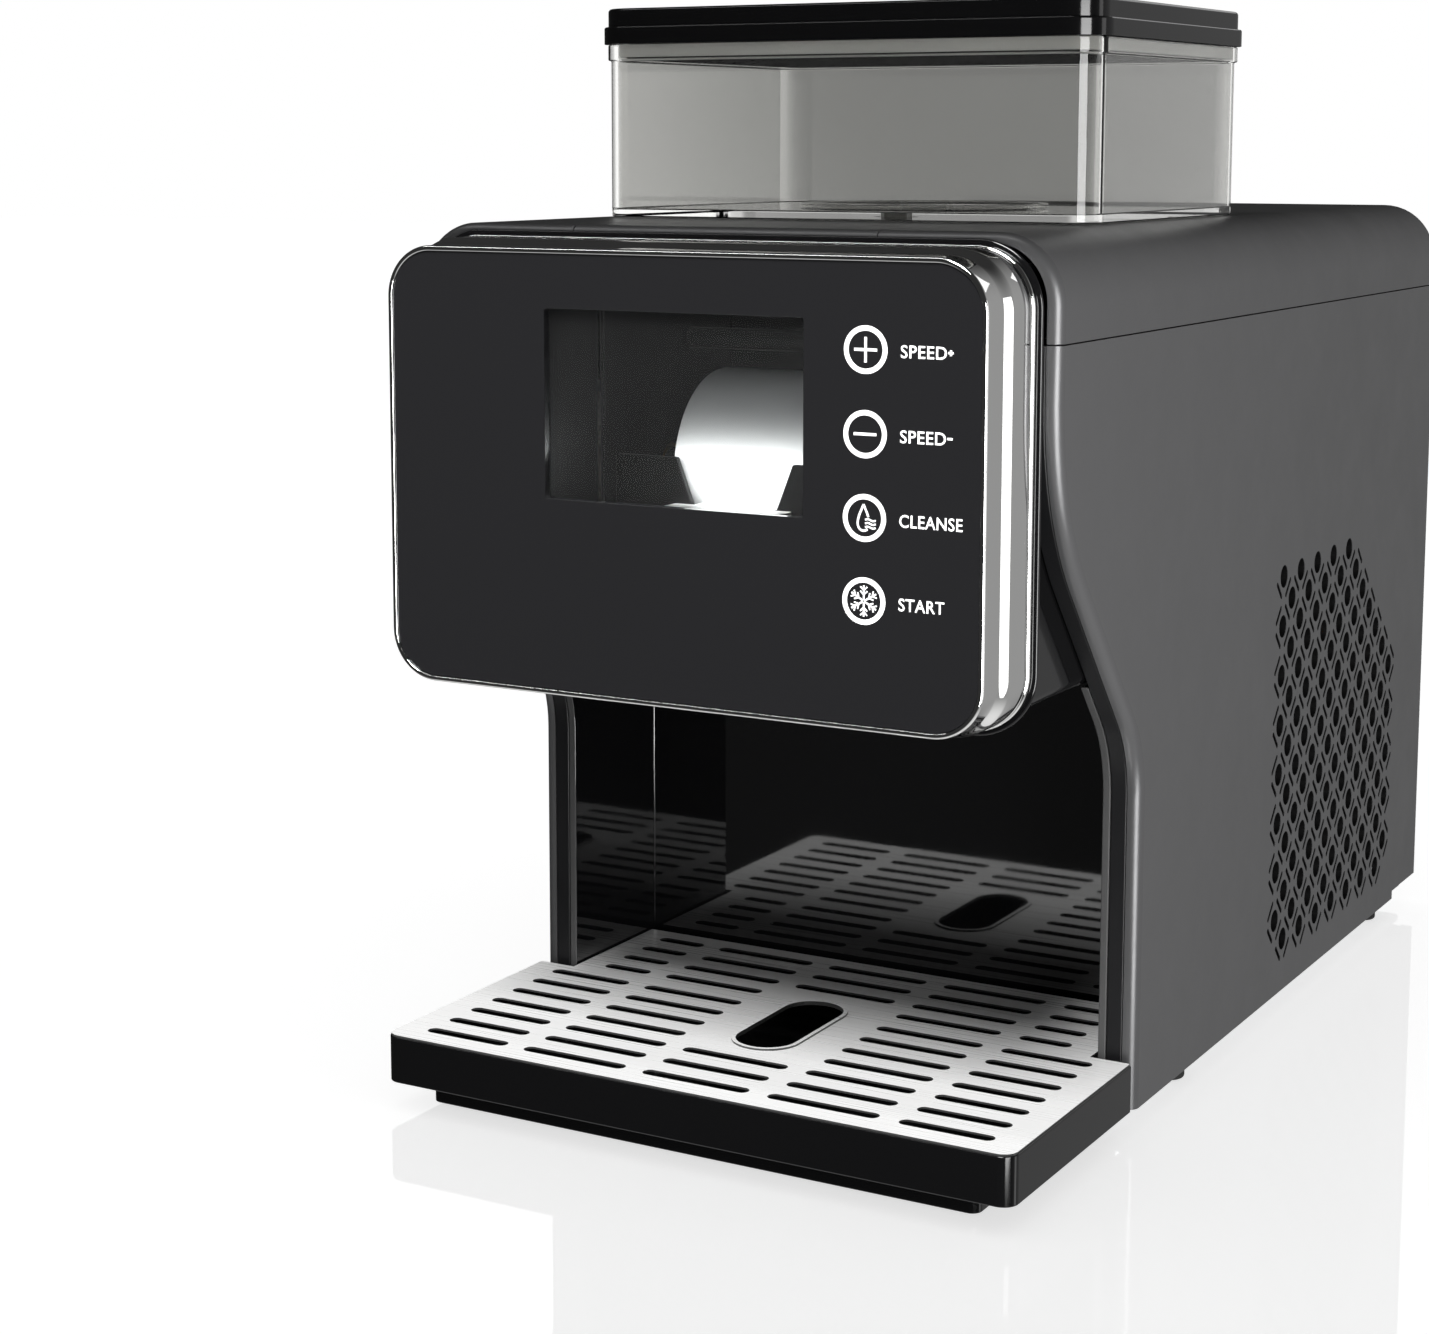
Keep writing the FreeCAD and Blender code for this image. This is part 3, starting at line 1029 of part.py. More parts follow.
def make_condenser():
    """Upright core of tubes between two header plates, with cooling fins across them."""
    core_y, core_z = ("fan_y - 85", "fan_y + 85"), ("%s + 1" % BASE_TOP, "foot_height + 180")
    x_low, x_high = number(CONDENSER_X[0]), number(CONDENSER_X[1])
    y_low, y_high = number(core_y[0]), number(core_y[1])
    z_low, z_high = number(core_z[0]), number(core_z[1])
    solids = []
    for z in (z_low, z_high - 3):
        solids.append(Part.makeBox(x_high - x_low, y_high - y_low, 3, FreeCAD.Vector(x_low, y_low, z)))
    fins = 24
    for i in range(fins):
        y = y_low + (y_high - y_low - 1) * i / (fins - 1)
        solids.append(Part.makeBox(x_high - x_low, 1, z_high - z_low, FreeCAD.Vector(x_low, y, z_low)))
    rows = 6
    for i in range(rows):
        z = z_low + (z_high - z_low) * (i + 0.5) / rows
        spot = FreeCAD.Vector((x_low + x_high) / 2, y_low, z)
        solids.append(Part.makeCylinder(4, y_high - y_low, spot, FreeCAD.Vector(0, 1, 0)))
    shape = solids[0].multiFuse(solids[1:])
    sub_part(free_solid("condenser_core", shape), "condenser")


def make_fan():
    frame = block("shroud_plate", (FAN_X[0], FAN_X[1]), ("fan_y - 62", "fan_y + 62"),
                  ("%s + 1" % BASE_TOP, "foot_height + fan_height + 62"))
    duct = rod("shroud_duct", "x", FAN_SPOT, grown(FAN_X, "1"), "fan_radius + 3")
    sub_part(cut("shroud", frame, duct), "fan_shroud")
    motor_x = ("%s - 26" % FAN_X[0], "%s - 1" % FAN_X[0])
    can = rod("fan_motor_can", "x", FAN_SPOT, motor_x, "fan_hub - 1")
    arms = [block("fan_arm_0", ("%s - 3" % FAN_X[0], FAN_X[0]),
                  ("fan_y - fan_radius - 8", "fan_y + fan_radius + 8"),
                  ("foot_height + fan_height - 4", "foot_height + fan_height + 4")),
            block("fan_arm_1", ("%s - 3" % FAN_X[0], FAN_X[0]), ("fan_y - 4", "fan_y + 4"),
                  ("foot_height + fan_height - fan_radius - 8",
                   "foot_height + fan_height + fan_radius + 8"))]
    pin = rod("fan_pin", "x", FAN_SPOT, (FAN_X[0], "%s + 9" % FAN_X[0]), "2.5")
    sub_part(fuse("fan_motor_piece", can, pin, *arms), "fan_motor")
    make_fan_rotor()


def make_fan_rotor():
    """Hub with seven pitched blades."""
    left = number("%s + 2" % FAN_X[0])
    hub_r, tip_r, wide = number("fan_hub"), number("fan_radius"), 12.0
    axis = FreeCAD.Vector(1, 0, 0)
    zero = FreeCAD.Vector(0, 0, 0)
    solid = Part.makeCylinder(hub_r, wide, zero, axis)
    blades = 7
    for i in range(blades):
        blade = Part.makeBox(1.6, 26, tip_r - hub_r + 4, FreeCAD.Vector(-0.8, -13, hub_r - 5))
        blade.rotate(zero, FreeCAD.Vector(0, 0, 1), 55)
        blade.translate(FreeCAD.Vector(wide / 2, 0, 0))
        blade.rotate(zero, axis, 360.0 * i / blades)
        solid = solid.fuse(blade)
    solid = solid.common(Part.makeCylinder(tip_r, wide, zero, axis))
    solid = solid.cut(Part.makeCylinder(2.5 + number("shaft_fit"), wide, zero, axis))
    rotor = free_solid("fan_rotor_piece", solid.removeSplitter())
    rotor.Placement.Base = FreeCAD.Vector(left, number(FAN_SPOT[0]), number(FAN_SPOT[1]))
    sub_part(rotor, "fan_rotor")


def make_tubes():
    """Refrigerant circuit: suction line, liquid line, drier and capillary."""
    union_end = "(%s + bearing_length + 0.8 + 28)" % BEARING_IN
    top = "(%s + compressor_height)" % COMPRESSOR_LOW
    sub_part(free_solid("suction", tube_solid(
        [(union_end, "drum_y", DRUM_Z), (SUCTION_SPOT[0], "drum_y", TUBE_Z),
         (SUCTION_SPOT[0], "compressor_y", TUBE_Z), ("compressor_x", "compressor_y", TUBE_Z),
         ("compressor_x", "compressor_y", top)], "tube_radius", "9")), "suction_line")
    drier_y = ("-35", "15")
    cap_x, cap_z = CAPILLARY_SPOT
    drier = rod("drier_can", "y", CAPILLARY_SPOT, drier_y, "drier_radius")
    doc.recompute()
    sub_part(rounded("drier_soft", drier, "drier_radius * 0.6", lambda box: box.YLength < 0.01),
             "filter_drier")
    sub_part(free_solid("liquid", tube_solid(
        [(cap_x, "fan_y", "foot_height + 180"), (cap_x, "fan_y", cap_z), (cap_x, drier_y[1], cap_z)],
        "tube_radius - 1", "8")), "liquid_line")
    union_x = "(%s + bearing_length + 20)" % BEARING_IN
    sub_part(free_solid("capillary_tube", tube_solid(
        [(cap_x, drier_y[0], cap_z), (cap_x, "drum_y", cap_z), (union_x, "drum_y", cap_z),
         (union_x, "drum_y", "%s - 12" % DRUM_Z)], "capillary_radius", "6")), "capillary")


def make_electrics():
    room_front = "(%s + liner_wall + gap + sheet_wall)" % BAY_BACK
    sub_part(block("supply", ("-95", "-15"), (room_front, "%s + 34" % room_front),
                   ("foot_height + 185", "foot_height + 255")), "power_supply")
    sub_part(block("board", ("-%s + 8" % INNER_HALF, "-%s + 9.6" % INNER_HALF), ("-40", "55"),
                   ("foot_height + 60", "foot_height + 160")), "main_board")
    sides = ("inlet_x - 14", "inlet_x + 14")
    flange_y = (COVER_BACK + " + back_wall", BACK)
    case = block("inlet_case", sides, ("%s - 18" % COVER_BACK, BACK), (INLET_Z + " - 11", INLET_Z + " + 11"))
    mouth = block("inlet_mouth", ("inlet_x - 12", "inlet_x + 12"), ("%s - 15" % COVER_BACK, "%s + 1" % BACK),
                  (INLET_Z + " - 8.5", INLET_Z + " + 8.5"))
    pins = [block("inlet_pin_%d" % i, ("inlet_x + %s - 1" % x, "inlet_x + %s + 1" % x),
                  ("%s - 15.5" % COVER_BACK, "%s - 1" % COVER_BACK),
                  (INLET_Z + z + " - 2", INLET_Z + z + " + 2"))
            for i, (x, z) in enumerate((("(-7)", " - 2"), ("0", " + 2"), ("7", " - 2")))]
    sub_part(fuse("inlet", cut("inlet_shell", case, mouth), *pins), "power_inlet")
    box = block("switch_case", sides, ("%s - 16" % COVER_BACK, BACK),
                (SWITCH_Z + " - 10", SWITCH_Z + " + 10"))
    well = block("switch_well", ("inlet_x - 11", "inlet_x + 11"), ("%s - 14" % COVER_BACK, "%s + 1" % BACK),
                 (SWITCH_Z + " - 8", SWITCH_Z + " + 8"))
    bore = rod("switch_bore", "x", ROCKER_SPOT, ("inlet_x - 13.1", "inlet_x + 13.1"),
               "1.5 + shaft_fit")
    sub_part(cut("switch_frame", box, well, bore), "switch_housing")
    make_rocker()


ROCKER_SPOT = ("(%s - 3)" % COVER_BACK, SWITCH_Z)


def make_rocker():
    """Rocker with its pivot pin along X, resting tipped to its off side."""
    half_x, half_z, tip = 10.5, 7.0, number("rocker_tip")
    outline = [(-6, -half_z), (3.2, -half_z), (1.6, 0), (3.2, half_z), (-6, half_z)]
    spots = [FreeCAD.Vector(-half_x, y, z) for y, z in outline]
    solid = Part.Face(Part.makePolygon(spots + spots[:1])).extrude(FreeCAD.Vector(2 * half_x, 0, 0))
    solid.rotate(FreeCAD.Vector(0, 0, 0), FreeCAD.Vector(1, 0, 0), -tip)
    pin = Part.makeCylinder(1.5, 26, FreeCAD.Vector(-13, 0, 0), FreeCAD.Vector(1, 0, 0))
    rocker = free_solid("rocker_piece", solid.fuse(pin).removeSplitter())
    rocker.Placement.Base = FreeCAD.Vector(number("inlet_x"), *[number(text) for text in ROCKER_SPOT])
    sub_part(rocker, "rocker")


def write_parts():
    """Checks every object, then writes each piece to its own file."""
    doc.recompute()
    for item in doc.Objects:
        if {"Invalid", "Error"} & set(item.State):
            raise RuntimeError("%s is %s" % (item.Label, item.State))
    for item in PARTS:
        if item.Shape.isNull() or not item.Shape.isValid():
            raise RuntimeError("%s has a bad shape" % item.Label)
    os.makedirs("parts", exist_ok=True)
    for item in PARTS:
        item.Shape.exportStep(os.path.join("parts", item.Label + ".step"))
    print("%d pieces" % len(PARTS))


make_base()
make_side_panel("left_side_panel", -1)
make_side_panel("right_side_panel", 1)
make_top_cover()
make_neck_trims()
make_bay_liner()
make_head_housing()
make_bulkhead()
make_rear_cover()
make_front_module()
make_chamber()
make_drum()
make_gears()
make_motor()
make_rotary_union()
make_scraper()
make_chute()
make_feed()
make_lamp()
make_tank()
make_lid()
make_tray()
make_grille()
make_compressor()
make_condenser()
make_fan()
make_tubes()
make_electrics()
write_parts()
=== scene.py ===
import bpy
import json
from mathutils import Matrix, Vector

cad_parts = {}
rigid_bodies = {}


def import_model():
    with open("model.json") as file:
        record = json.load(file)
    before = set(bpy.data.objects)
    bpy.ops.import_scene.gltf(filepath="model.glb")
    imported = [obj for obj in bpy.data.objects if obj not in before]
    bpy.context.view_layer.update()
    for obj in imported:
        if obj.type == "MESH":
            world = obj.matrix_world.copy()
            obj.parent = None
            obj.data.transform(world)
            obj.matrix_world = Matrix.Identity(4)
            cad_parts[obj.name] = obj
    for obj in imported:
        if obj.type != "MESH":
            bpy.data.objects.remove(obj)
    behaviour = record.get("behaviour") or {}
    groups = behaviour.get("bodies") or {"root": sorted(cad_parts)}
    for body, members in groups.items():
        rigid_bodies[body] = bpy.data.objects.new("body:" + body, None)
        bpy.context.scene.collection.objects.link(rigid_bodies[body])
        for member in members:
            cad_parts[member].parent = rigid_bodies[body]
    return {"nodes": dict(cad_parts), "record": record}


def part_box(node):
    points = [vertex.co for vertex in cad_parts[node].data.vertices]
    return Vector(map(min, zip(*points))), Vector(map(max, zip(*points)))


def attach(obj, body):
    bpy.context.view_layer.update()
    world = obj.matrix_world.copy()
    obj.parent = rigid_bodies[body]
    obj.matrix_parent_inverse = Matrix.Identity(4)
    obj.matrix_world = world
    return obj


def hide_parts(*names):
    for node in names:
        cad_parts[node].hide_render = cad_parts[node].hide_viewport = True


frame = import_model()

"""Countertop snow-ice maker: the looks built around its frame.

Every piece is in metres in the frame's own axes: +X to the right of someone who faces the
front, -Y towards them, +Z up, the floor at zero.
"""

import json
import logging
import math
from dataclasses import dataclass, field
from enum import Enum

import bmesh
import bpy
import numpy as np
from mathutils import Vector

MM = 0.001
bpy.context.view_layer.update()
LOG = logging.getLogger("ice_maker")


# ---- shader groups ----------------------------------------------------------------------------


def new_group(name: str, inputs: dict[str, str], outputs: dict[str, str]) -> bpy.types.NodeTree:
    """An empty shader group with its sockets.

    Args:
        name: The group's name.
        inputs: Socket type for each input name.
        outputs: Socket type for each output name.

    Returns:
        The group, holding one input node and one output node.
    """
    group = bpy.data.node_groups.new(name, "ShaderNodeTree")
    for label, kind in inputs.items():
        group.interface.new_socket(name=label, in_out="INPUT", socket_type="NodeSocket" + kind)
    for label, kind in outputs.items():
        group.interface.new_socket(name=label, in_out="OUTPUT", socket_type="NodeSocket" + kind)
    group.nodes.new("NodeGroupInput")
    group.nodes.new("NodeGroupOutput")
    return group


def add_node(tree: bpy.types.NodeTree, kind: str, **values: object) -> bpy.types.Node:
    """Adds a node and sets its properties.

    Args:
        tree: The tree that gets the node.
        kind: The node's type without its ShaderNode prefix.
        **values: Properties of the node.

    Returns:
        The node.
    """
    node = tree.nodes.new("ShaderNode" + kind)
    for key, value in values.items():
        setattr(node, key, value)
    return node


def make_tone_group() -> bpy.types.NodeTree:
    """Colour that drifts lighter and darker in soft clouds.

    Returns:
        The group: the colour is scaled by one plus or minus a share of broad noise.
    """
    group = new_group("tone_drift", {"Vector": "Vector", "Colour": "Color", "Scale": "Float",
                                     "Swing": "Float"}, {"Colour": "Color"})
    gate, out = group.nodes["Group Input"], group.nodes["Group Output"]
    noise = add_node(group, "TexNoise")
    noise.inputs["Detail"].default_value = 4.0
    centred = add_node(group, "Math", operation="SUBTRACT")
    centred.inputs[1].default_value = 0.5
    share = add_node(group, "Math", operation="MULTIPLY_ADD")
    share.inputs[2].default_value = 1.0
    scaled = add_node(group, "VectorMath", operation="SCALE")
    link = group.links.new
    link(gate.outputs["Vector"], noise.inputs["Vector"])
    link(gate.outputs["Scale"], noise.inputs["Scale"])
    link(noise.outputs["Fac"], centred.inputs[0])
    link(centred.outputs[0], share.inputs[0])
    link(gate.outputs["Swing"], share.inputs[1])
    link(gate.outputs["Colour"], scaled.inputs[0])
    link(share.outputs[0], scaled.inputs["Scale"])
    link(scaled.outputs["Vector"], out.inputs["Colour"])
    return group


def make_veil_group() -> bpy.types.NodeTree:
    """Roughness that varies between two values, as a handled surface does.

    Returns:
        The group: layered noise, spread from Low to High.
    """
    group = new_group("handled_veil", {"Vector": "Vector", "Scale": "Float", "Low": "Float",
                                       "High": "Float"}, {"Value": "Float"})
    gate, out = group.nodes["Group Input"], group.nodes["Group Output"]
    noise = add_node(group, "TexNoise")
    noise.inputs["Detail"].default_value = 6.0
    noise.inputs["Roughness"].default_value = 0.62
    spread = add_node(group, "MapRange")
    spread.inputs["From Min"].default_value = 0.32
    spread.inputs["From Max"].default_value = 0.68
    link = group.links.new
    link(gate.outputs["Vector"], noise.inputs["Vector"])
    link(gate.outputs["Scale"], noise.inputs["Scale"])
    link(noise.outputs["Fac"], spread.inputs["Value"])
    link(gate.outputs["Low"], spread.inputs["To Min"])
    link(gate.outputs["High"], spread.inputs["To Max"])
    link(spread.outputs["Result"], out.inputs["Value"])
    return group


def make_grain_group() -> bpy.types.NodeTree:
    """Height of a fine surface texture.

    Returns:
        The group: fine noise mixed with a few larger swells.
    """
    group = new_group("surface_grain", {"Vector": "Vector", "Scale": "Float", "Swell": "Float"},
                      {"Height": "Float"})
    gate, out = group.nodes["Group Input"], group.nodes["Group Output"]
    fine = add_node(group, "TexNoise")
    fine.inputs["Detail"].default_value = 2.0
    broad_scale = add_node(group, "Math", operation="MULTIPLY")
    broad_scale.inputs[1].default_value = 0.02
    broad = add_node(group, "TexNoise")
    broad.inputs["Detail"].default_value = 1.0
    joined = add_node(group, "Math", operation="MULTIPLY_ADD")
    link = group.links.new
    for noise in (fine, broad):
        link(gate.outputs["Vector"], noise.inputs["Vector"])
    link(gate.outputs["Scale"], fine.inputs["Scale"])
    link(gate.outputs["Scale"], broad_scale.inputs[0])
    link(broad_scale.outputs[0], broad.inputs["Scale"])
    link(broad.outputs["Fac"], joined.inputs[0])
    link(gate.outputs["Swell"], joined.inputs[1])
    link(fine.outputs["Fac"], joined.inputs[2])
    link(joined.outputs[0], out.inputs["Height"])
    return group


def scaled_by_mask(group: bpy.types.NodeTree, mask: bpy.types.NodeSocket) -> None:
    """Ends a group of painted shade: its colour is scaled by one less the depth times a mask.

    Args:
        group: The group, with Colour and Depth inputs and a Colour output.
        mask: Where it darkens, from zero to one.
    """
    gate, out = group.nodes["Group Input"], group.nodes["Group Output"]
    taken = add_node(group, "Math", operation="MULTIPLY")
    left = add_node(group, "Math", operation="SUBTRACT")
    left.inputs[0].default_value = 1.0
    scaled = add_node(group, "VectorMath", operation="SCALE")
    link = group.links.new
    link(mask, taken.inputs[0])
    link(gate.outputs["Depth"], taken.inputs[1])
    link(taken.outputs[0], left.inputs[1])
    link(gate.outputs["Colour"], scaled.inputs[0])
    link(left.outputs[0], scaled.inputs["Scale"])
    link(scaled.outputs["Vector"], out.inputs["Colour"])


def make_cut_shade_group() -> bpy.types.NodeTree:
    """Painted shade on the cut edges of a flat sheet: darkens where the surface's own normal leaves
    upright.

    Returns:
        The group; its mask falls from one to zero as the normal's Z grows from 0.35 to 0.8.
    """
    group = new_group("sheet_cut", {"Colour": "Color", "Depth": "Float"}, {"Colour": "Color"})
    normal = add_node(group, "TexCoord").outputs["Normal"]
    parts = add_node(group, "SeparateXYZ")
    size = add_node(group, "Math", operation="ABSOLUTE")
    mask = add_node(group, "MapRange")
    for key, value in {"From Min": 0.35, "From Max": 0.8, "To Min": 1.0, "To Max": 0.0}.items():
        mask.inputs[key].default_value = value
    group.links.new(normal, parts.inputs[0])
    group.links.new(parts.outputs["Z"], size.inputs[0])
    group.links.new(size.outputs[0], mask.inputs["Value"])
    scaled_by_mask(group, mask.outputs["Result"])
    return group


def make_vent_shade_group() -> bpy.types.NodeTree:
    """Painted shade inside the side vent openings: darkens below the panels' outer face, in the vent
    zone.

    Returns:
        The group; its mask is one where the distance from the middle plane is under the outer
        face, behind the neck and below the seam.
    """
    group = new_group("vent_holes", {"Colour": "Color", "Depth": "Float"}, {"Colour": "Color"})
    place = add_node(group, "TexCoord").outputs["Object"]
    parts = add_node(group, "SeparateXYZ")
    group.links.new(place, parts.inputs[0])
    side = add_node(group, "Math", operation="ABSOLUTE")
    group.links.new(parts.outputs["X"], side.inputs[0])
    _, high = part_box("right_side_panel")
    tests = [(side.outputs[0], "LESS_THAN", high.x - 0.25 * MM),
             (parts.outputs["Y"], "GREATER_THAN", 0.02), (parts.outputs["Y"], "LESS_THAN", 0.215),
             (parts.outputs["Z"], "GREATER_THAN", 0.018), (parts.outputs["Z"], "LESS_THAN", 0.2)]
    mask = None
    for value, test, limit in tests:
        check = add_node(group, "Math", operation=test)
        check.inputs[1].default_value = limit
        group.links.new(value, check.inputs[0])
        if mask is None:
            mask = check.outputs[0]
            continue
        both = add_node(group, "Math", operation="MULTIPLY")
        group.links.new(mask, both.inputs[0])
        group.links.new(check.outputs[0], both.inputs[1])
        mask = both.outputs[0]
    scaled_by_mask(group, mask)
    return group


class Lay(Enum):
    """The way that a finish's fine lines run, as scales on the three axes."""

    NONE = (1.0, 1.0, 1.0)
    ALONG_X = (0.012, 1.0, 1.0)
    ALONG_Y = (1.0, 0.012, 1.0)
    ROUND_X = (1.0, 0.02, 0.02)


@dataclass
class Groups:
    """The shader groups that the finishes share, built once."""

    tone: bpy.types.NodeTree = field(default_factory=make_tone_group)
    veil: bpy.types.NodeTree = field(default_factory=make_veil_group)
    grain: bpy.types.NodeTree = field(default_factory=make_grain_group)
    # cut: painted shade on the cut edges of flat sheets.
    cut: bpy.types.NodeTree = field(default_factory=make_cut_shade_group)
    # Painted shade inside the side vent openings.
    hole_shade_group: bpy.types.NodeTree = field(default_factory=make_vent_shade_group)


GROUPS = Groups()


@dataclass(frozen=True)
class Finish:
    """One surface finish and the numbers of its shader."""

    name: str
    colour: tuple[float, float, float]
    roughness: float
    swing: float = 0.04
    metallic: float = 0.0
    specular: float = 0.5
    ior: float = 1.5
    coat: float = 0.0
    coat_roughness: float = 0.05
    transmission: float = 0.0
    tone_scale: float = 14.0
    tone_swing: float = 0.12
    veil_scale: float = 30.0
    grain_scale: float = 1500.0
    grain_depth: float = 0.00002
    grain_swell: float = 0.5
    lay: Lay = Lay.NONE
    glow: float = 0.0
    # Painted shade on a sheet's cut edges.
    cut_shade_depth: float = 0.0
    # Painted shade inside the side vent openings.
    paints_vent_shade: bool = False
    dull_edges: bool = False

    def placed_group(self, tree: bpy.types.NodeTree, group: bpy.types.NodeTree,
                     vector: bpy.types.NodeSocket, **values: object) -> bpy.types.Node:
        """Places a shared group in a material.

        Args:
            tree: The material's tree.
            group: The shared group.
            vector: The coordinates that it reads.
            **values: Its input values.

        Returns:
            The group's node.
        """
        node = tree.nodes.new("ShaderNodeGroup")
        node.node_tree = group
        tree.links.new(vector, node.inputs["Vector"])
        for key, value in values.items():
            node.inputs[key].default_value = value
        return node

    def darkened(self, tree: bpy.types.NodeTree, group: bpy.types.NodeTree,
                 colour: bpy.types.NodeSocket, **values: float) -> bpy.types.NodeSocket:
        """Passes a colour through a shared group that paints shade on it in places.

        Args:
            tree: The material's tree.
            group: The shared group.
            colour: The colour to darken.
            **values: The group's input values.

        Returns:
            The darkened colour.
        """
        node = tree.nodes.new("ShaderNodeGroup")
        node.node_tree = group
        tree.links.new(colour, node.inputs["Colour"])
        for key, value in values.items():
            node.inputs[key].default_value = value
        return node.outputs["Colour"]

    def dulled(self, tree: bpy.types.NodeTree, place: bpy.types.NodeSocket,
               rough: bpy.types.NodeSocket) -> bpy.types.NodeSocket:
        """Dulls the cut front edges of the bay's walls, which lie outside their inner faces.

        Args:
            tree: The material's tree.
            place: Object coordinates.
            rough: The roughness elsewhere.

        Returns:
            The roughness, raised where the distance from the middle plane passes the walls.
        """
        parts = add_node(tree, "SeparateXYZ")
        side = add_node(tree, "Math", operation="ABSOLUTE")
        past = add_node(tree, "Math", operation="GREATER_THAN")
        past.inputs[1].default_value = 0.1151
        higher = add_node(tree, "Math", operation="MULTIPLY_ADD")
        higher.inputs[1].default_value = 0.75
        tree.links.new(place, parts.inputs[0])
        tree.links.new(parts.outputs["X"], side.inputs[0])
        tree.links.new(side.outputs[0], past.inputs[0])
        tree.links.new(past.outputs[0], higher.inputs[0])
        tree.links.new(rough, higher.inputs[2])
        return higher.outputs[0]

    def material(self) -> bpy.types.Material:
        """The finish as a material.

        Returns:
            A material with one principled shader fed by the shared groups.
        """
        made = bpy.data.materials.new(self.name)
        made.use_nodes = True
        tree = made.node_tree
        shader = tree.nodes["Principled BSDF"]
        plain = {"Metallic": self.metallic, "IOR": self.ior, "Coat Weight": self.coat,
                 "Coat Roughness": self.coat_roughness, "Specular IOR Level": self.specular,
                 "Transmission Weight": self.transmission}
        for key, value in plain.items():
            shader.inputs[key].default_value = value
        coordinates = add_node(tree, "TexCoord").outputs["Object"]
        mapping = add_node(tree, "Mapping")
        mapping.inputs["Scale"].default_value = self.lay.value
        tree.links.new(coordinates, mapping.inputs["Vector"])
        stretched = mapping.outputs["Vector"]
        tone = self.placed_group(tree, GROUPS.tone, coordinates, Colour=(*self.colour, 1.0),
                                 Scale=self.tone_scale, Swing=self.tone_swing)
        veil = self.placed_group(tree, GROUPS.veil, stretched, Scale=self.veil_scale,
                                 Low=max(self.roughness - self.swing, 0.0),
                                 High=self.roughness + self.swing)
        grain = self.placed_group(tree, GROUPS.grain, stretched, Scale=self.grain_scale,
                                  Swell=self.grain_swell)
        bump = add_node(tree, "Bump")
        bump.inputs["Strength"].default_value = 1.0
        bump.inputs["Distance"].default_value = self.grain_depth
        colour = tone.outputs["Colour"]
        # Painted shade on a sheet's cut edges.
        if self.cut_shade_depth:
            colour = self.darkened(tree, GROUPS.cut, colour, Depth=self.cut_shade_depth)
        # Painted shade inside the side vent openings.
        if self.paints_vent_shade:
            colour = self.darkened(tree, GROUPS.hole_shade_group, colour, Depth=0.94)
        tree.links.new(colour, shader.inputs["Base Color"])
        rough = veil.outputs["Value"]
        if self.dull_edges:
            rough = self.dulled(tree, coordinates, rough)
        tree.links.new(rough, shader.inputs["Roughness"])
        tree.links.new(grain.outputs["Height"], bump.inputs["Height"])
        tree.links.new(bump.outputs["Normal"], shader.inputs["Normal"])
        if self.glow:
            shader.inputs["Emission Color"].default_value = (*self.colour, 1.0)
            shader.inputs["Emission Strength"].default_value = self.glow
        return made


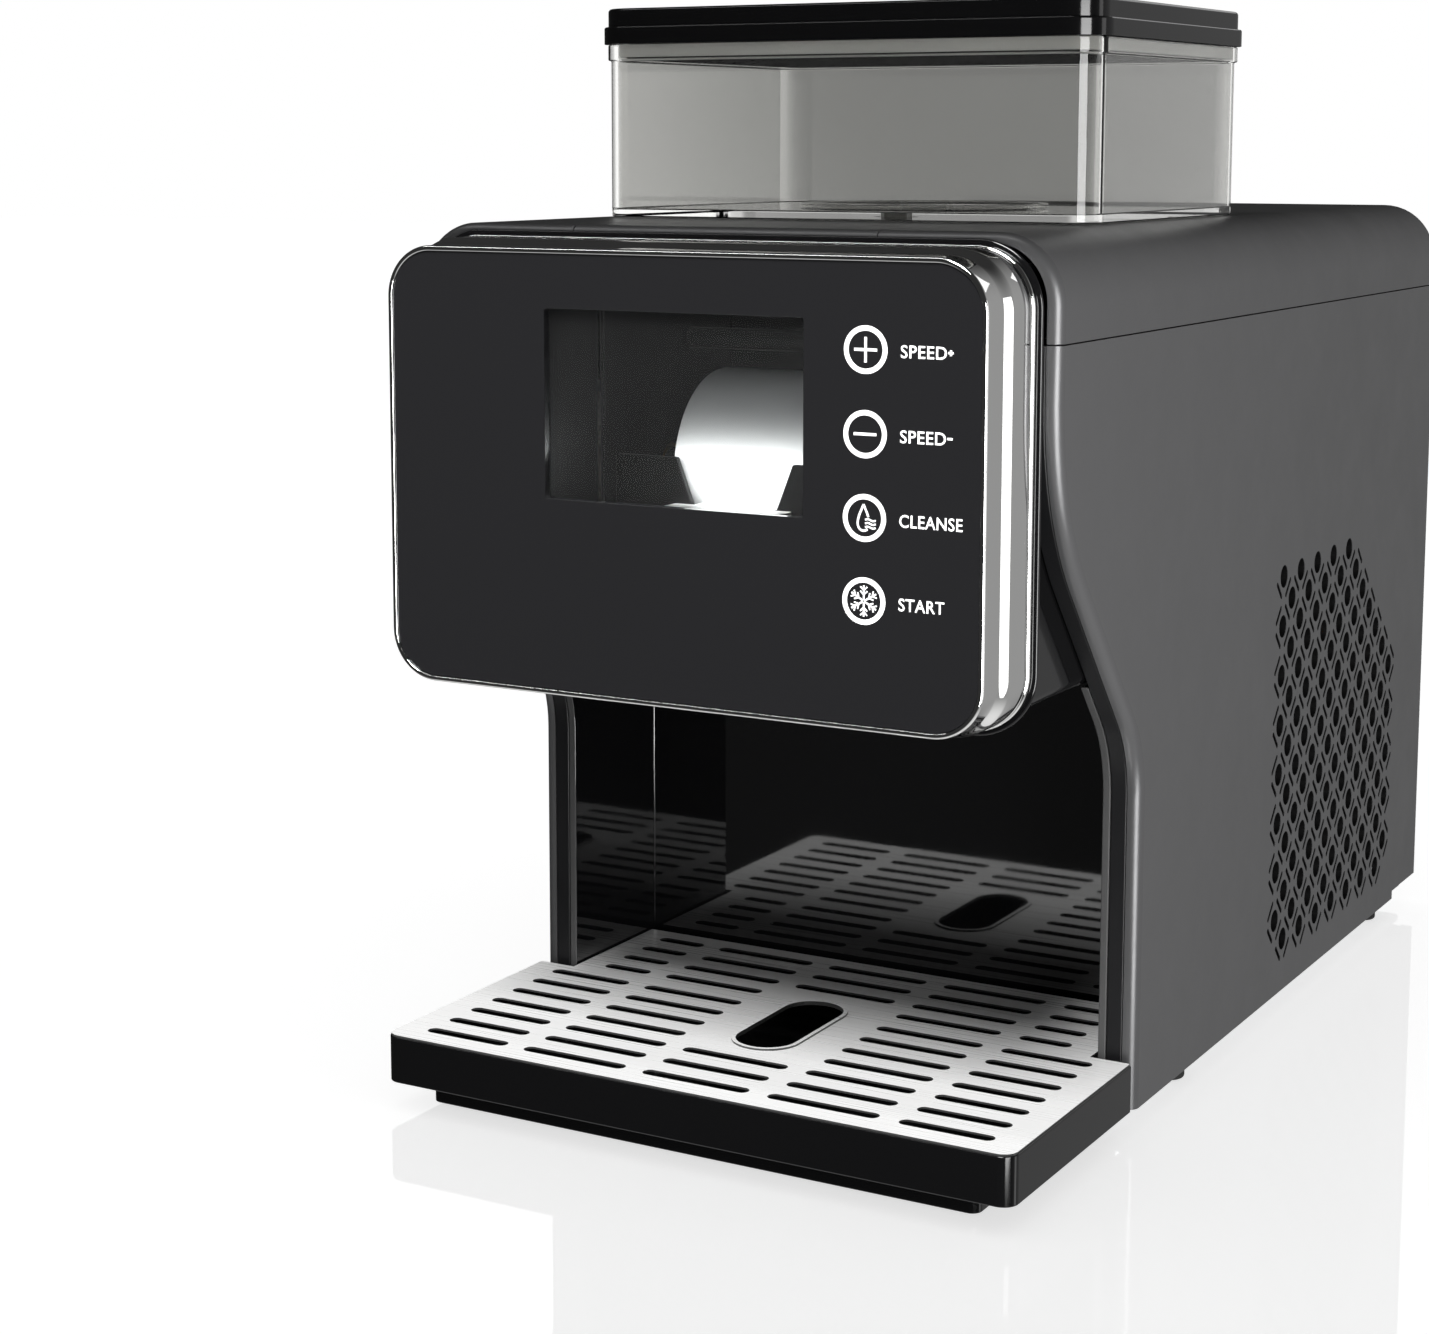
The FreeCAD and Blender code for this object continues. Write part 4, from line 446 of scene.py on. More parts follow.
FINISHES: dict[str, Finish] = {
    # Its vent openings get painted shade inside.
    "graphite": Finish("graphite_paint", (0.084, 0.084, 0.086), 0.38, swing=0.03, metallic=0.45,
                       ior=1.6, tone_scale=5.0, tone_swing=0.08, grain_scale=2600.0,
                       grain_depth=0.000012, paints_vent_shade=True),
    "graphite_plastic": Finish("graphite_moulding", (0.08, 0.08, 0.082), 0.38, swing=0.03,
                               metallic=0.45, ior=1.6, tone_scale=6.0, tone_swing=0.08,
                               grain_scale=2400.0, grain_depth=0.000014),
    "black_gloss": Finish("black_polish", (0.0028, 0.0028, 0.003), 0.09, swing=0.03,
                          ior=1.42, grain_scale=900.0, grain_depth=0.0000015),
    "liner_gloss": Finish("black_mirror", (0.002, 0.002, 0.0022), 0.035, swing=0.01,
                          ior=2.05, dull_edges=True, grain_scale=900.0, grain_depth=0.000001),
    "black_matte": Finish("black_moulding", (0.0045, 0.0045, 0.005), 0.45, swing=0.06,
                          specular=0.25, grain_scale=3000.0, grain_depth=0.00002),
    "front_glass": Finish("front_panel_gloss", (0.0135, 0.0135, 0.0146), 0.07, swing=0.02,
                          grain_scale=500.0, grain_depth=0.0000005, tone_swing=0.05),
    "clear_pane": Finish("clear_window", (0.93, 0.94, 0.94), 0.01, swing=0.006, ior=1.12,
                         specular=0.2, transmission=0.9935, grain_depth=0.0, tone_swing=0.02),
    "chrome": Finish("bright_chrome", (0.86, 0.86, 0.85), 0.05, swing=0.02, metallic=1.0,
                     grain_scale=700.0, grain_depth=0.0000004, tone_swing=0.03),
    # Its slots' cut walls get painted shade.
    "stainless": Finish("brushed_stainless", (0.82, 0.82, 0.815), 0.3, swing=0.06, metallic=0.25,
                        cut_shade_depth=0.93, veil_scale=900.0, grain_scale=2200.0, grain_depth=0.000006,
                        grain_swell=0.0, tone_swing=0.08, lay=Lay.ALONG_X),
    "galvanised": Finish("galvanised_sheet", (0.42, 0.43, 0.44), 0.38, swing=0.12, metallic=1.0,
                         tone_scale=90.0, tone_swing=0.35, veil_scale=120.0),
    "smoky_plastic": Finish("smoky_clear", (0.66, 0.66, 0.645), 0.02, swing=0.012, ior=1.4,
                            transmission=1.0, grain_depth=0.0, tone_swing=0.04),
    "drum_metal": Finish("satin_drum", (0.8, 0.82, 0.82), 0.42, swing=0.04, metallic=0.35,
                         veil_scale=700.0, grain_scale=1800.0, grain_depth=0.000002,
                         grain_swell=0.0, lay=Lay.ROUND_X),
    "shaft_steel": Finish("ground_steel", (0.6, 0.6, 0.6), 0.25, metallic=1.0),
    "bronze": Finish("sintered_bronze", (0.48, 0.32, 0.15), 0.42, metallic=1.0,
                     tone_scale=200.0, tone_swing=0.25),
    "gear_plastic": Finish("acetal", (0.7, 0.68, 0.62), 0.36, specular=0.4),
    "white_plastic": Finish("white_moulding", (0.66, 0.66, 0.65), 0.38),
    "silicone": Finish("clear_silicone", (0.62, 0.62, 0.6), 0.42, swing=0.08),
    "rubber": Finish("black_rubber", (0.012, 0.012, 0.012), 0.72, swing=0.08, specular=0.3,
                     grain_scale=1800.0, grain_depth=0.00005),
    "copper": Finish("drawn_copper", (0.72, 0.34, 0.2), 0.28, swing=0.1, metallic=1.0,
                     tone_scale=60.0, tone_swing=0.3),
    # Near-black fins: painted shade, so the inside seen through the vent openings stays dark.
    "fin_aluminium": Finish("black_fins", (0.012, 0.012, 0.013), 0.55, swing=0.06),
    "compressor_paint": Finish("compressor_enamel", (0.01, 0.01, 0.01), 0.3, swing=0.05,
                               grain_scale=600.0, grain_depth=0.00004),
    "board": Finish("circuit_board", (0.01, 0.09, 0.035), 0.35, tone_scale=400.0,
                    tone_swing=0.5),
    "lamp": Finish("smoked_lamp", (0.008, 0.008, 0.009), 0.6, specular=0.1),
}
# The ink's faint glow is painted light: print is no lamp.
INK = Finish("white_ink", (0.83, 0.83, 0.82), 0.45, swing=0.05, tone_swing=0.04, glow=0.12)
FLOOR = Finish("pale_floor", (0.86, 0.86, 0.86), 0.5, swing=0.02, tone_swing=0.01, specular=0.0,
               grain_scale=200.0, grain_depth=0.0, glow=0.95)
MATERIALS: dict[str, bpy.types.Material] = {}


def material_of(slot: str) -> bpy.types.Material:
    """The material of a finish slot, made the first time it is asked for."""
    if slot not in MATERIALS:
        finish = {"ink": INK, "floor": FLOOR}.get(slot) or FINISHES[slot]
        MATERIALS[slot] = finish.material()
    return MATERIALS[slot]


SLOT_OF = {part["node"]: part["material_slot"] for part in frame["record"]["subparts"]}
BODY_OF = {node: body for body, nodes in frame["record"]["behaviour"]["bodies"].items()
           for node in nodes}


# ---- surfaces ---------------------------------------------------------------------------------


def shade(mesh: bpy.types.Mesh, sharp_degrees: float) -> None:
    """Smooth shading that keeps the edges sharper than an angle.

    Args:
        mesh: The mesh to shade.
        sharp_degrees: Edges with a greater turn stay sharp.
    """
    mesh.polygons.foreach_set("use_smooth", np.ones(len(mesh.polygons), bool))
    mesh.set_sharp_from_angle(angle=math.radians(sharp_degrees))


def grid_faces(rows: int, columns: int, wrap_rows: bool, wrap_columns: bool) -> np.ndarray:
    """Quads of a grid of points.

    Each quad joins a point, the next in its row, and the two in the next row.

    Args:
        rows: Count of points the first way.
        columns: Count of points the second way.
        wrap_rows: Whether the last row joins the first.
        wrap_columns: Whether the last column joins the first.

    Returns:
        The quads' corner numbers, four to a row.
    """
    i = np.arange(rows if wrap_rows else rows - 1)[:, None]
    j = np.arange(columns if wrap_columns else columns - 1)[None, :]
    below, right = (i + 1) % rows, (j + 1) % columns
    corners = [i * columns + j, i * columns + right, below * columns + right, below * columns + j]
    return np.stack(np.broadcast_arrays(*corners), axis=-1).reshape(-1, 4)


@dataclass
class Patches:
    """Several point grids gathered into one mesh."""

    points: list[np.ndarray] = field(default_factory=list)
    faces: list[list[int]] = field(default_factory=list)
    count: int = 0

    def add(self, points: np.ndarray, wrap_rows: bool = False, wrap_columns: bool = False,
            cap_ends: bool = False) -> None:
        """Adds one grid.

        Args:
            points: Its points, as rows, columns and three coordinates.
            wrap_rows: Whether the last row joins the first.
            wrap_columns: Whether the last column joins the first.
            cap_ends: Whether the first and last rows are closed with a face each.
        """
        rows, columns = points.shape[:2]
        quads = grid_faces(rows, columns, wrap_rows, wrap_columns) + self.count
        self.faces += quads.tolist()
        if cap_ends:
            first = np.arange(columns) + self.count
            self.faces.append(first[::-1].tolist())
            self.faces.append((first + (rows - 1) * columns).tolist())
        self.points.append(points.reshape(-1, 3))
        self.count += rows * columns

    def build(self, name: str, sharp_degrees: float = 35.0) -> bpy.types.Object:
        """Makes the mesh object, its faces turned outwards.

        Args:
            name: The object's name.
            sharp_degrees: Edges with a greater turn stay sharp.

        Returns:
            The object, at the origin.
        """
        mesh = bpy.data.meshes.new(name)
        mesh.from_pydata(np.concatenate(self.points).tolist(), [], self.faces)
        skin = bmesh.new()
        skin.from_mesh(mesh)
        bmesh.ops.remove_doubles(skin, verts=skin.verts, dist=1e-7)
        bmesh.ops.recalc_face_normals(skin, faces=skin.faces)
        skin.to_mesh(mesh)
        skin.free()
        shade(mesh, sharp_degrees)
        made = bpy.data.objects.new(name, mesh)
        bpy.context.scene.collection.objects.link(made)
        return made


def dress(piece: bpy.types.Object, slot: str, body: str, *nodes: str) -> bpy.types.Object:
    """Gives a finished piece its material, its body and the nodes that it stands for.

    Args:
        piece: The finished piece.
        slot: Its finish slot; "ink" is printed on.
        body: The body that it rides on.
        *nodes: The nodes that it replaces.

    Returns:
        The piece.
    """
    piece.data.materials.clear()
    piece.data.materials.append(material_of(slot))
    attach(piece, body)
    if nodes:
        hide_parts(*nodes)
    LOG.info("%s rides on %s", piece.name, body)
    return piece


def rounded_outline(half: float, low: float, high: float, radius: float,
                    arc_points: int = 20) -> tuple[np.ndarray, np.ndarray]:
    """A rounded rectangle in X and Z with its outward directions.

    Each corner is a quarter circle: centre plus radius times (cosine, sine).

    Args:
        half: Half of its width.
        low: Its lower edge.
        high: Its upper edge.
        radius: The corners' radius.
        arc_points: Points on each corner.

    Returns:
        The points and the unit outward directions, one row each.
    """
    turn = np.linspace(0, math.pi / 2, arc_points)
    centres = [(half - radius, high - radius), (radius - half, high - radius),
               (radius - half, low + radius), (half - radius, low + radius)]
    points, ways = [], []
    for quarter, centre in enumerate(centres):
        angle = turn + quarter * math.pi / 2
        way = np.stack([np.cos(angle), np.sin(angle)], axis=1)
        points.append(np.array(centre) + radius * way)
        ways.append(way)
    return np.concatenate(points), np.concatenate(ways)


def carried_round(outline: np.ndarray, ways: np.ndarray, profile: np.ndarray) -> np.ndarray:
    """A profile carried round an outline in X and Z.

    A point is the outline's point, plus its outward direction times the profile's first value,
    at the profile's second value in Y.

    Args:
        outline: Points of the outline.
        ways: Unit outward directions.
        profile: Rows of outward shift and Y.

    Returns:
        A grid of points, outline by profile.
    """
    flat = outline[:, None, :] + ways[:, None, :] * profile[None, :, :1]
    depth = np.broadcast_to(profile[None, :, 1], flat.shape[:2])
    return np.stack([flat[..., 0], depth, flat[..., 1]], axis=-1)


def refined(node: str, name: str, bevel_mm: float, segments: int = 2, clean: bool = True,
            sharp_degrees: float = 30.0) -> bpy.types.Object:
    """A copy of a node's shape with shared corners, clean flats and softened edges.

    Args:
        node: The node to copy.
        name: The new piece's name.
        bevel_mm: Width of the edge softening; none where it is zero.
        segments: Steps across the softening.
        clean: Whether flat areas are merged.
        sharp_degrees: Edges with a greater turn are softened or kept sharp.

    Returns:
        The new object.
    """
    mesh = bpy.data.meshes.new(name)
    skin = bmesh.new()
    skin.from_mesh(frame["nodes"][node].data)
    bmesh.ops.remove_doubles(skin, verts=skin.verts, dist=2e-6)
    if clean:
        bmesh.ops.dissolve_limit(skin, angle_limit=math.radians(0.3), verts=skin.verts,
                                 edges=skin.edges)
    skin.to_mesh(mesh)
    skin.free()
    for layer in ("custom_normal", "UVMap"):
        if layer in mesh.attributes:
            mesh.attributes.remove(mesh.attributes[layer])
    shade(mesh, sharp_degrees)
    made = bpy.data.objects.new(name, mesh)
    bpy.context.scene.collection.objects.link(made)
    if bevel_mm:
        soften = made.modifiers.new("edge_softening", "BEVEL")
        soften.width = bevel_mm * MM
        soften.segments = segments
        soften.limit_method = "ANGLE"
        soften.angle_limit = math.radians(sharp_degrees)
        soften.miter_outer = "MITER_ARC"
        soften.harden_normals = True
    even = made.modifiers.new("even_normals", "WEIGHTED_NORMAL")
    even.keep_sharp = True
    even.weight = 80
    return made


# ---- sub-assemblies ---------------------------------------------------------------------------


@dataclass
class Refit:
    """How far each node's own shape is refined: node to edge softening in millimetres."""

    name_ending: str
    edges_mm: dict[str, float]
    clean: bool = True
    segments: int = 2

    def build(self) -> None:
        """Refines and dresses every node in the list."""
        for node, edge in self.edges_mm.items():
            piece = refined(node, node + self.name_ending, edge, self.segments, self.clean)
            dress(piece, SLOT_OF[node], BODY_OF[node], node)


@dataclass
class Bezel:
    """Chrome surround of the front module, and the black ring behind it."""

    half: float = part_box("bezel")[1].x
    low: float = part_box("bezel")[0].z
    high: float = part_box("bezel")[1].z
    front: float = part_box("bezel")[0].y
    back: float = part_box("bezel")[1].y
    radius: float = 21 * MM
    lip: float = 4.2 * MM
    step: float = 2.3 * MM
    tier: float = 10.6 * MM
    slope: float = 6.6 * MM
    bead: float = 0.7 * MM
    bead_depth: float = 2.2 * MM
    ring_lip: float = 2.6 * MM

    def profile(self) -> np.ndarray:
        """Section of the surround: a round lip, a tier, a slope, a second tier and a bead.

        The lip and the bead are half rounds: shift plus width times (cosine, sine) of a turn.

        Returns:
            Rows of outward shift and Y, from the inner back edge round to the outer back edge.
        """
        nose = (self.lip - self.step) / 2
        turn = np.linspace(math.pi / 2, 0, 11)
        lip = np.stack([-self.step - nose + nose * np.cos(turn),
                        self.front + nose * 1.3 * (1 - np.sin(turn))], axis=1)
        slope = np.linspace(0, 1, 9)
        eased = 0.3 * slope * slope * (3 - 2 * slope) + 0.7 * slope
        start, end = self.front + self.tier, self.front + self.tier + self.slope
        tiers = np.stack([-self.step * (1 - eased), start + (end - start) * slope], axis=1)
        swell = np.linspace(0, math.pi, 9)
        half_bead = self.bead_depth / 2
        bead = np.stack([self.bead * np.sin(swell),
                         self.back - half_bead - half_bead * np.cos(swell)], axis=1)
        inner = np.array([[-self.lip, self.back], [-self.lip, self.front + 0.25 * MM],
                          [-self.lip + 0.25 * MM, self.front]])
        return np.concatenate([inner, lip, tiers, bead])

    def build(self) -> None:
        """Makes the chrome surround and the ring."""
        outline, ways = rounded_outline(self.half, self.low, self.high, self.radius, 28)
        surround = Patches()
        surround.add(carried_round(outline, ways, self.profile()), wrap_rows=True, wrap_columns=True)
        dress(surround.build("chrome_surround", 50.0), "chrome", "casing", "bezel")
        low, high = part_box("trim_ring")
        half_depth = (high.y - low.y) / 2
        turn = np.linspace(-math.pi / 2, math.pi / 2, 11)
        edge = np.stack([self.ring_lip - half_depth * (1 - np.cos(turn)),
                         (low.y + high.y) / 2 + half_depth * np.sin(turn)], axis=1)
        inner = np.array([[-self.lip - 2 * MM, high.y], [-self.lip - 2 * MM, low.y]])
        ring = Patches()
        ring.add(carried_round(outline, ways, np.concatenate([edge, inner])), True, True)
        dress(ring.build("shadow_ring", 40.0), "black_gloss", "casing", "trim_ring")


@dataclass
class TouchColumn:
    """Printed marks on the front panel: four ringed symbols, each with a word beside it."""

    x: float = 75 * MM
    top: float = 297.2 * MM
    pitch: float = 28 * MM
    face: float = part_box("front_panel")[0].y
    proud: float = 0.06 * MM
    ring_radius: float = 7.15 * MM
    ring_width: float = 1.75 * MM
    bar: float = 8.4 * MM
    bar_width: float = 0.95 * MM
    word_x: float = 87.9 * MM
    cap_height: float = 4.35 * MM
    words: tuple[tuple[str, float], ...] = (("SPEED", 16.6 * MM), ("SPEED", 16.6 * MM),
                                            ("CLEANSE", 22.9 * MM), ("START", 16.7 * MM))
    marks: Patches = field(default_factory=Patches)

    def ribbon(self, path: np.ndarray, width: float, closed: bool) -> None:
        """Adds a flat ribbon along a path in X and Z.

        Its edges are the path plus and minus half the width along the path's own normal, which
        is the turned, unit gradient of the path.

        Args:
            path: Points in X and Z.
            width: The ribbon's width.
            closed: Whether the path's ends meet.
        """
        if closed:
            ahead = np.roll(path, -1, axis=0) - np.roll(path, 1, axis=0)
        else:
            ahead = np.gradient(path, axis=0)
        ahead /= np.linalg.norm(ahead, axis=1, keepdims=True)
        side = np.stack([ahead[:, 1], -ahead[:, 0]], axis=1)
        shifts = np.array([-0.5, 0.5, 0.5, -0.5]) * width
        depths = np.array([-1.0, -1.0, 0.0, 0.0]) * self.proud + self.face
        flat = path[:, None, :] + side[:, None, :] * shifts[None, :, None]
        depth = np.broadcast_to(depths[None, :], flat.shape[:2])
        grid = np.stack([flat[..., 0], depth, flat[..., 1]], axis=-1)
        self.marks.add(grid, wrap_rows=closed, wrap_columns=True, cap_ends=not closed)

    def stroke(self, start: tuple[float, float], end: tuple[float, float]) -> None:
        """Adds a straight bar between two points in X and Z."""
        self.ribbon(np.linspace(start, end, 3), self.bar_width, False)

    def ring(self, z: float) -> None:
        """Adds a circle round a symbol: centre plus radius times (cosine, sine)."""
        turn = np.linspace(0, math.tau, 72, endpoint=False)
        circle = np.stack([np.cos(turn), np.sin(turn)], axis=1) * self.ring_radius
        self.ribbon(circle + np.array([self.x, z]), self.ring_width, True)

    def cross(self, z: float, upright: bool) -> None:
        """Adds a minus sign, and the plus sign's upright.

        Args:
            z: Height of its middle.
            upright: Whether it is a plus sign.
        """
        reach = self.bar / 2
        self.stroke((self.x - reach, z), (self.x + reach, z))
        if upright:
            gap = self.bar_width / 2
            self.stroke((self.x, z - reach), (self.x, z - gap))
            self.stroke((self.x, z + gap), (self.x, z + reach))

    def drop(self, z: float) -> None:
        """Adds a water drop with three waves beside it.

        The drop is a circle whose width is narrowed by the sine of half the turn, and a wave is
        a sine of its own length.

        Args:
            z: Height of its middle.
        """
        turn = np.linspace(0.16, math.tau - 0.16, 40)
        wide = 3.1 * MM * np.sin(turn) * np.sin(turn / 2) ** 1.5
        tall = 4.5 * MM * np.cos(turn)
        keep = ~((wide > 0.6 * MM) & (tall < -0.2 * MM) & (tall > -3.6 * MM))
        outline = np.stack([self.x - 0.3 * MM + wide, z + 0.2 * MM + tall], axis=1)
        breaks = np.flatnonzero(~keep)
        for part in (outline[:breaks[0]], outline[breaks[-1] + 1:]):
            self.ribbon(part, 0.75 * MM, False)
        along = np.linspace(0, 1, 14)
        for row in range(3):
            x = self.x + (0.3 + 3.9 * along) * MM
            wave = z + (-0.6 - 1.25 * row + 0.28 * np.sin(along * math.tau)) * MM
            self.ribbon(np.stack([x, wave], axis=1), 0.62 * MM, False)

    def snowflake(self, z: float) -> None:
        """Adds six arms, each with two pairs of barbs.

        Args:
            z: Height of its middle.
        """
        centre = np.array([self.x, z])
        for arm in range(6):
            angle = math.pi / 2 + arm * math.pi / 3
            way = np.array([math.cos(angle), math.sin(angle)])
            self.ribbon(np.linspace(centre + way * 0.3 * MM, centre + way * 5.3 * MM, 3), 0.62 * MM,
                        False)
            for reach, size in ((2.1, 1.5), (3.6, 1.45)):
                for lean in (-math.pi / 4, math.pi / 4):
                    barb = np.array([math.cos(angle + lean), math.sin(angle + lean)])
                    root = centre + way * reach * MM + barb * 0.35 * MM
                    self.ribbon(np.linspace(root, root + barb * size * MM, 3), 0.5 * MM, False)

    def sign(self, x: float, z: float, upright: bool) -> None:
        """Adds the small plus or minus sign that ends a word.

        Args:
            x: Its middle, to the right.
            z: Height of its middle.
            upright: Whether it is a plus sign.
        """
        reach, width = 0.95 * MM, 0.75 * MM
        self.ribbon(np.linspace((x - reach, z), (x + reach, z), 3), width, False)
        if upright:
            for way in (-1, 1):
                self.ribbon(np.linspace((x, z + way * width / 2), (x, z + way * reach), 3), width,
                            False)

    def word(self, text: str, width: float, row: int, z: float) -> bpy.types.Object:
        """A printed word as a mesh.

        The letters' own plane is turned upright: (x, y, z) becomes (x, -z, y), with x stretched
        so that the word spans its width.

        Args:
            text: The word.
            width: Its width.
            row: Its place in the column, from the top.
            z: Height of its middle.

        Returns:
            The object.
        """
        curve = bpy.data.curves.new("word", "FONT")
        curve.body = text
        curve.size = self.cap_height / 0.73
        curve.offset = 0.06 * MM
        curve.extrude = self.proud / 2
        curve.resolution_u = 4
        curve.space_character = 1.06
        letters = bpy.data.objects.new("letters", curve)
        mesh = bpy.data.meshes.new_from_object(letters)
        bpy.data.objects.remove(letters)
        flat = np.empty(len(mesh.vertices) * 3, np.float32)
        mesh.vertices.foreach_get("co", flat)
        flat = flat.reshape(-1, 3)
        low, high = flat[:, 0].min(), flat[:, 0].max()
        across = self.word_x + (flat[:, 0] - low) * (width / (high - low))
        places = np.stack([across, self.face - self.proud / 2 - flat[:, 2],
                           z - self.cap_height / 2 + flat[:, 1]], axis=1)
        mesh.vertices.foreach_set("co", places.astype(np.float32).ravel())
        mesh.name = "word_%d_%s" % (row, text.lower())
        made = bpy.data.objects.new(mesh.name, mesh)
        bpy.context.scene.collection.objects.link(made)
        return made

    def build(self) -> None:
        """Makes the rings, the symbols and the words."""
        heights = [self.top - i * self.pitch for i in range(len(self.words))]
        for z in heights:
            self.ring(z)
        self.cross(heights[0], True)
        self.cross(heights[1], False)
        self.drop(heights[2])
        self.snowflake(heights[3])
        for row, ((text, width), z) in enumerate(zip(self.words, heights)):
            dress(self.word(text, width, row, z), "ink", "casing")
            if row < 2:
                self.sign(self.word_x + width + 1.45 * MM, z, row == 0)
        dress(self.marks.build("touch_marks"), "ink", "casing")


@dataclass
class Studio:
    """Camera, lights, floor and surroundings; none of it is part of the object."""

    eye: tuple[float, float, float] = (0.4827, -1.0548, 0.3655)
    azimuth: float = 29.82
    dip: float = 7.933
    lens: float = 69.365
    shift: float = -0.1
    floor_half: float = 9.0
    floor_gloss: float = 0.17
    even_light: float = 0.32
    dark_side: float = 0.03
    lit: bpy.types.Collection | None = None

    def camera(self) -> None:
        """Places the camera; it looks along the azimuth and dips below the horizon."""
        data = bpy.data.cameras.new("camera")
        data.sensor_width = 36.0
        data.lens = self.lens
        data.shift_y = self.shift
        data.clip_end = 100.0
        made = bpy.data.objects.new("camera", data)
        bpy.context.scene.collection.objects.link(made)
        turn, dip = math.radians(self.azimuth), math.radians(self.dip)
        ahead = Vector((-math.sin(turn) * math.cos(dip), math.cos(turn) * math.cos(dip),
                        -math.sin(dip)))
        made.location = self.eye
        made.rotation_mode = "QUATERNION"
        made.rotation_quaternion = ahead.to_track_quat("-Z", "Y")
        bpy.context.scene.camera = made

    def softbox(self, name: str, place: tuple[float, float, float],
                target: tuple[float, float, float], size: tuple[float, float],
                watts: float) -> bpy.types.Object:
        """A rectangular light that faces a point.

        Args:
            name: Its name.
            place: Where it stands.
            target: The point that it faces.
            size: Its width and height.
            watts: Its power.

        Returns:
            The light.
        """
        data = bpy.data.lights.new(name, "AREA")
        data.shape = "RECTANGLE"
        data.size, data.size_y = size
        data.energy = watts
        made = bpy.data.objects.new(name, data)
        bpy.context.scene.collection.objects.link(made)
        made.location = place
        made.rotation_mode = "QUATERNION"
        made.rotation_quaternion = (Vector(target) - Vector(place)).to_track_quat("-Z", "Y")
        made.visible_camera = False
        made.light_linking.receiver_collection = self.lit
        return made

    def lights(self) -> None:
        """Places the soft lights and the small one under the lamp in the chamber."""
        middle = (0.0, 0.0, 0.2)
        paint = ("top_cover", "top_insert", "rear_cover", "left_side", "right_side")
        tank = ("tank", "tank_lid")
        key = self.softbox("key", (0.15, -1.42, 1.95), middle, (0.9, 0.9), 88.0)
        key.light_linking.receiver_collection = self.gathered("key_lit", skip=paint + tank)
        front = self.softbox("right_front_box", (0.7, -0.62, 0.12), middle, (0.42, 0.7), 14.0)
        side = self.softbox("right_box", (1.3, 0.25, 0.1), middle, (0.34, 1.3), 2.2)
        turned = ("drip_grille", "front_panel", "window_pane")
        front.light_linking.receiver_collection = self.gathered("front_lit", skip=turned)
        side.light_linking.receiver_collection = self.gathered("side_lit", skip=paint)
        for box in (front, side):
            box.visible_transmission = False
        rim = self.softbox("back_strip", (0.35, 1.9, 1.2), middle, (1.3, 0.4), 1.6)
        rim.light_linking.receiver_collection = self.gathered("rim_lit", skip=paint)
        self.softbox("overhead_strip", (-0.5, -0.43, 1.35), (-0.5, -0.3, 0.3), (1.2, 0.07), 3.0)
        _, tunnel_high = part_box("window_tunnel")
        drum_low, drum_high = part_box("drum_shell")
        axis = (drum_low + drum_high) / 2
        place = (0.0, tunnel_high.y + 4 * MM, axis.z + 2 * MM)
        target = (0.0, axis.y, axis.z - 4 * MM)
        lamp = self.softbox("chamber_lamp", place, target, (0.08, 0.02), 0.018)
        lit = self.gathered("chamber_lit", ("drum_shell", "scraper_blade", "drum_end_caps"))
        lamp.light_linking.receiver_collection = lit

    def gathered(self, name: str, keep: tuple[str, ...] = ("",),
                 skip: tuple[str, ...] = ("-",)) -> bpy.types.Collection:
        """A collection of pieces that a light keeps to.

        Args:
            name: The collection's name.
            keep: Starts of the names of the pieces in it.
            skip: Starts of the names of the pieces left out.

        Returns:
            The collection.
        """
        kept = bpy.data.collections.new(name)
        for made in bpy.context.scene.objects:
            if made.type == "MESH" and made.name.startswith(keep) and not made.name.startswith(skip):
                kept.objects.link(made)
        return kept

    def floor(self) -> None:
        """Lays the pale floor, a flat four-sided surface."""
        side = np.array([-1.0, 1.0]) * self.floor_half
        x, y = np.meshgrid(side, side, indexing="ij")
        flat = Patches()
        flat.add(np.stack([x, y, np.full_like(x, -0.4 * MM)], axis=-1))
        made = flat.build("floor")
        if made.data.polygons[0].normal.z < 0:
            made.data.flip_normals()
        made.data.materials.append(self.floor_finish())
        made.visible_glossy = False

    def floor_finish(self) -> bpy.types.Material:
        """The floor's finish: a pale matt ground under a faint even gloss.

        Returns:
            The material.
        """
        made = material_of("floor")
        tree = made.node_tree
        gloss = add_node(tree, "BsdfGlossy")
        gloss.inputs["Roughness"].default_value = 0.0
        layered = add_node(tree, "MixShader")
        layered.inputs[0].default_value = self.floor_gloss
        tree.links.new(tree.nodes["Principled BSDF"].outputs[0], layered.inputs[1])
        tree.links.new(gloss.outputs[0], layered.inputs[2])
        tree.links.new(layered.outputs[0], tree.nodes["Material Output"].inputs["Surface"])
        return made

    def lobe(self, tree: bpy.types.NodeTree, way: tuple[float, float, float],
             span: tuple[float, float], gain: float) -> bpy.types.NodeSocket:
        """A soft bright patch of the surroundings.

        Its value is gain times a smooth step of the cosine between a ray and the patch's way.

        Args:
            tree: The world's tree.
            way: Direction of the patch's middle.
            span: Cosines at its edge and where it is full.
            gain: Its brightness.

        Returns:
            The value's socket.
        """
        ray = add_node(tree, "TexCoord").outputs["Generated"]
        cosine = add_node(tree, "VectorMath", operation="DOT_PRODUCT")
        cosine.inputs[1].default_value = Vector(way).normalized()
        step = add_node(tree, "MapRange", interpolation_type="SMOOTHSTEP")
        step.inputs["From Min"].default_value = span[0]
        step.inputs["From Max"].default_value = span[1]
        step.inputs["To Max"].default_value = gain
        tree.links.new(ray, cosine.inputs[0])
        tree.links.new(cosine.outputs["Value"], step.inputs["Value"])
        return step.outputs["Result"]

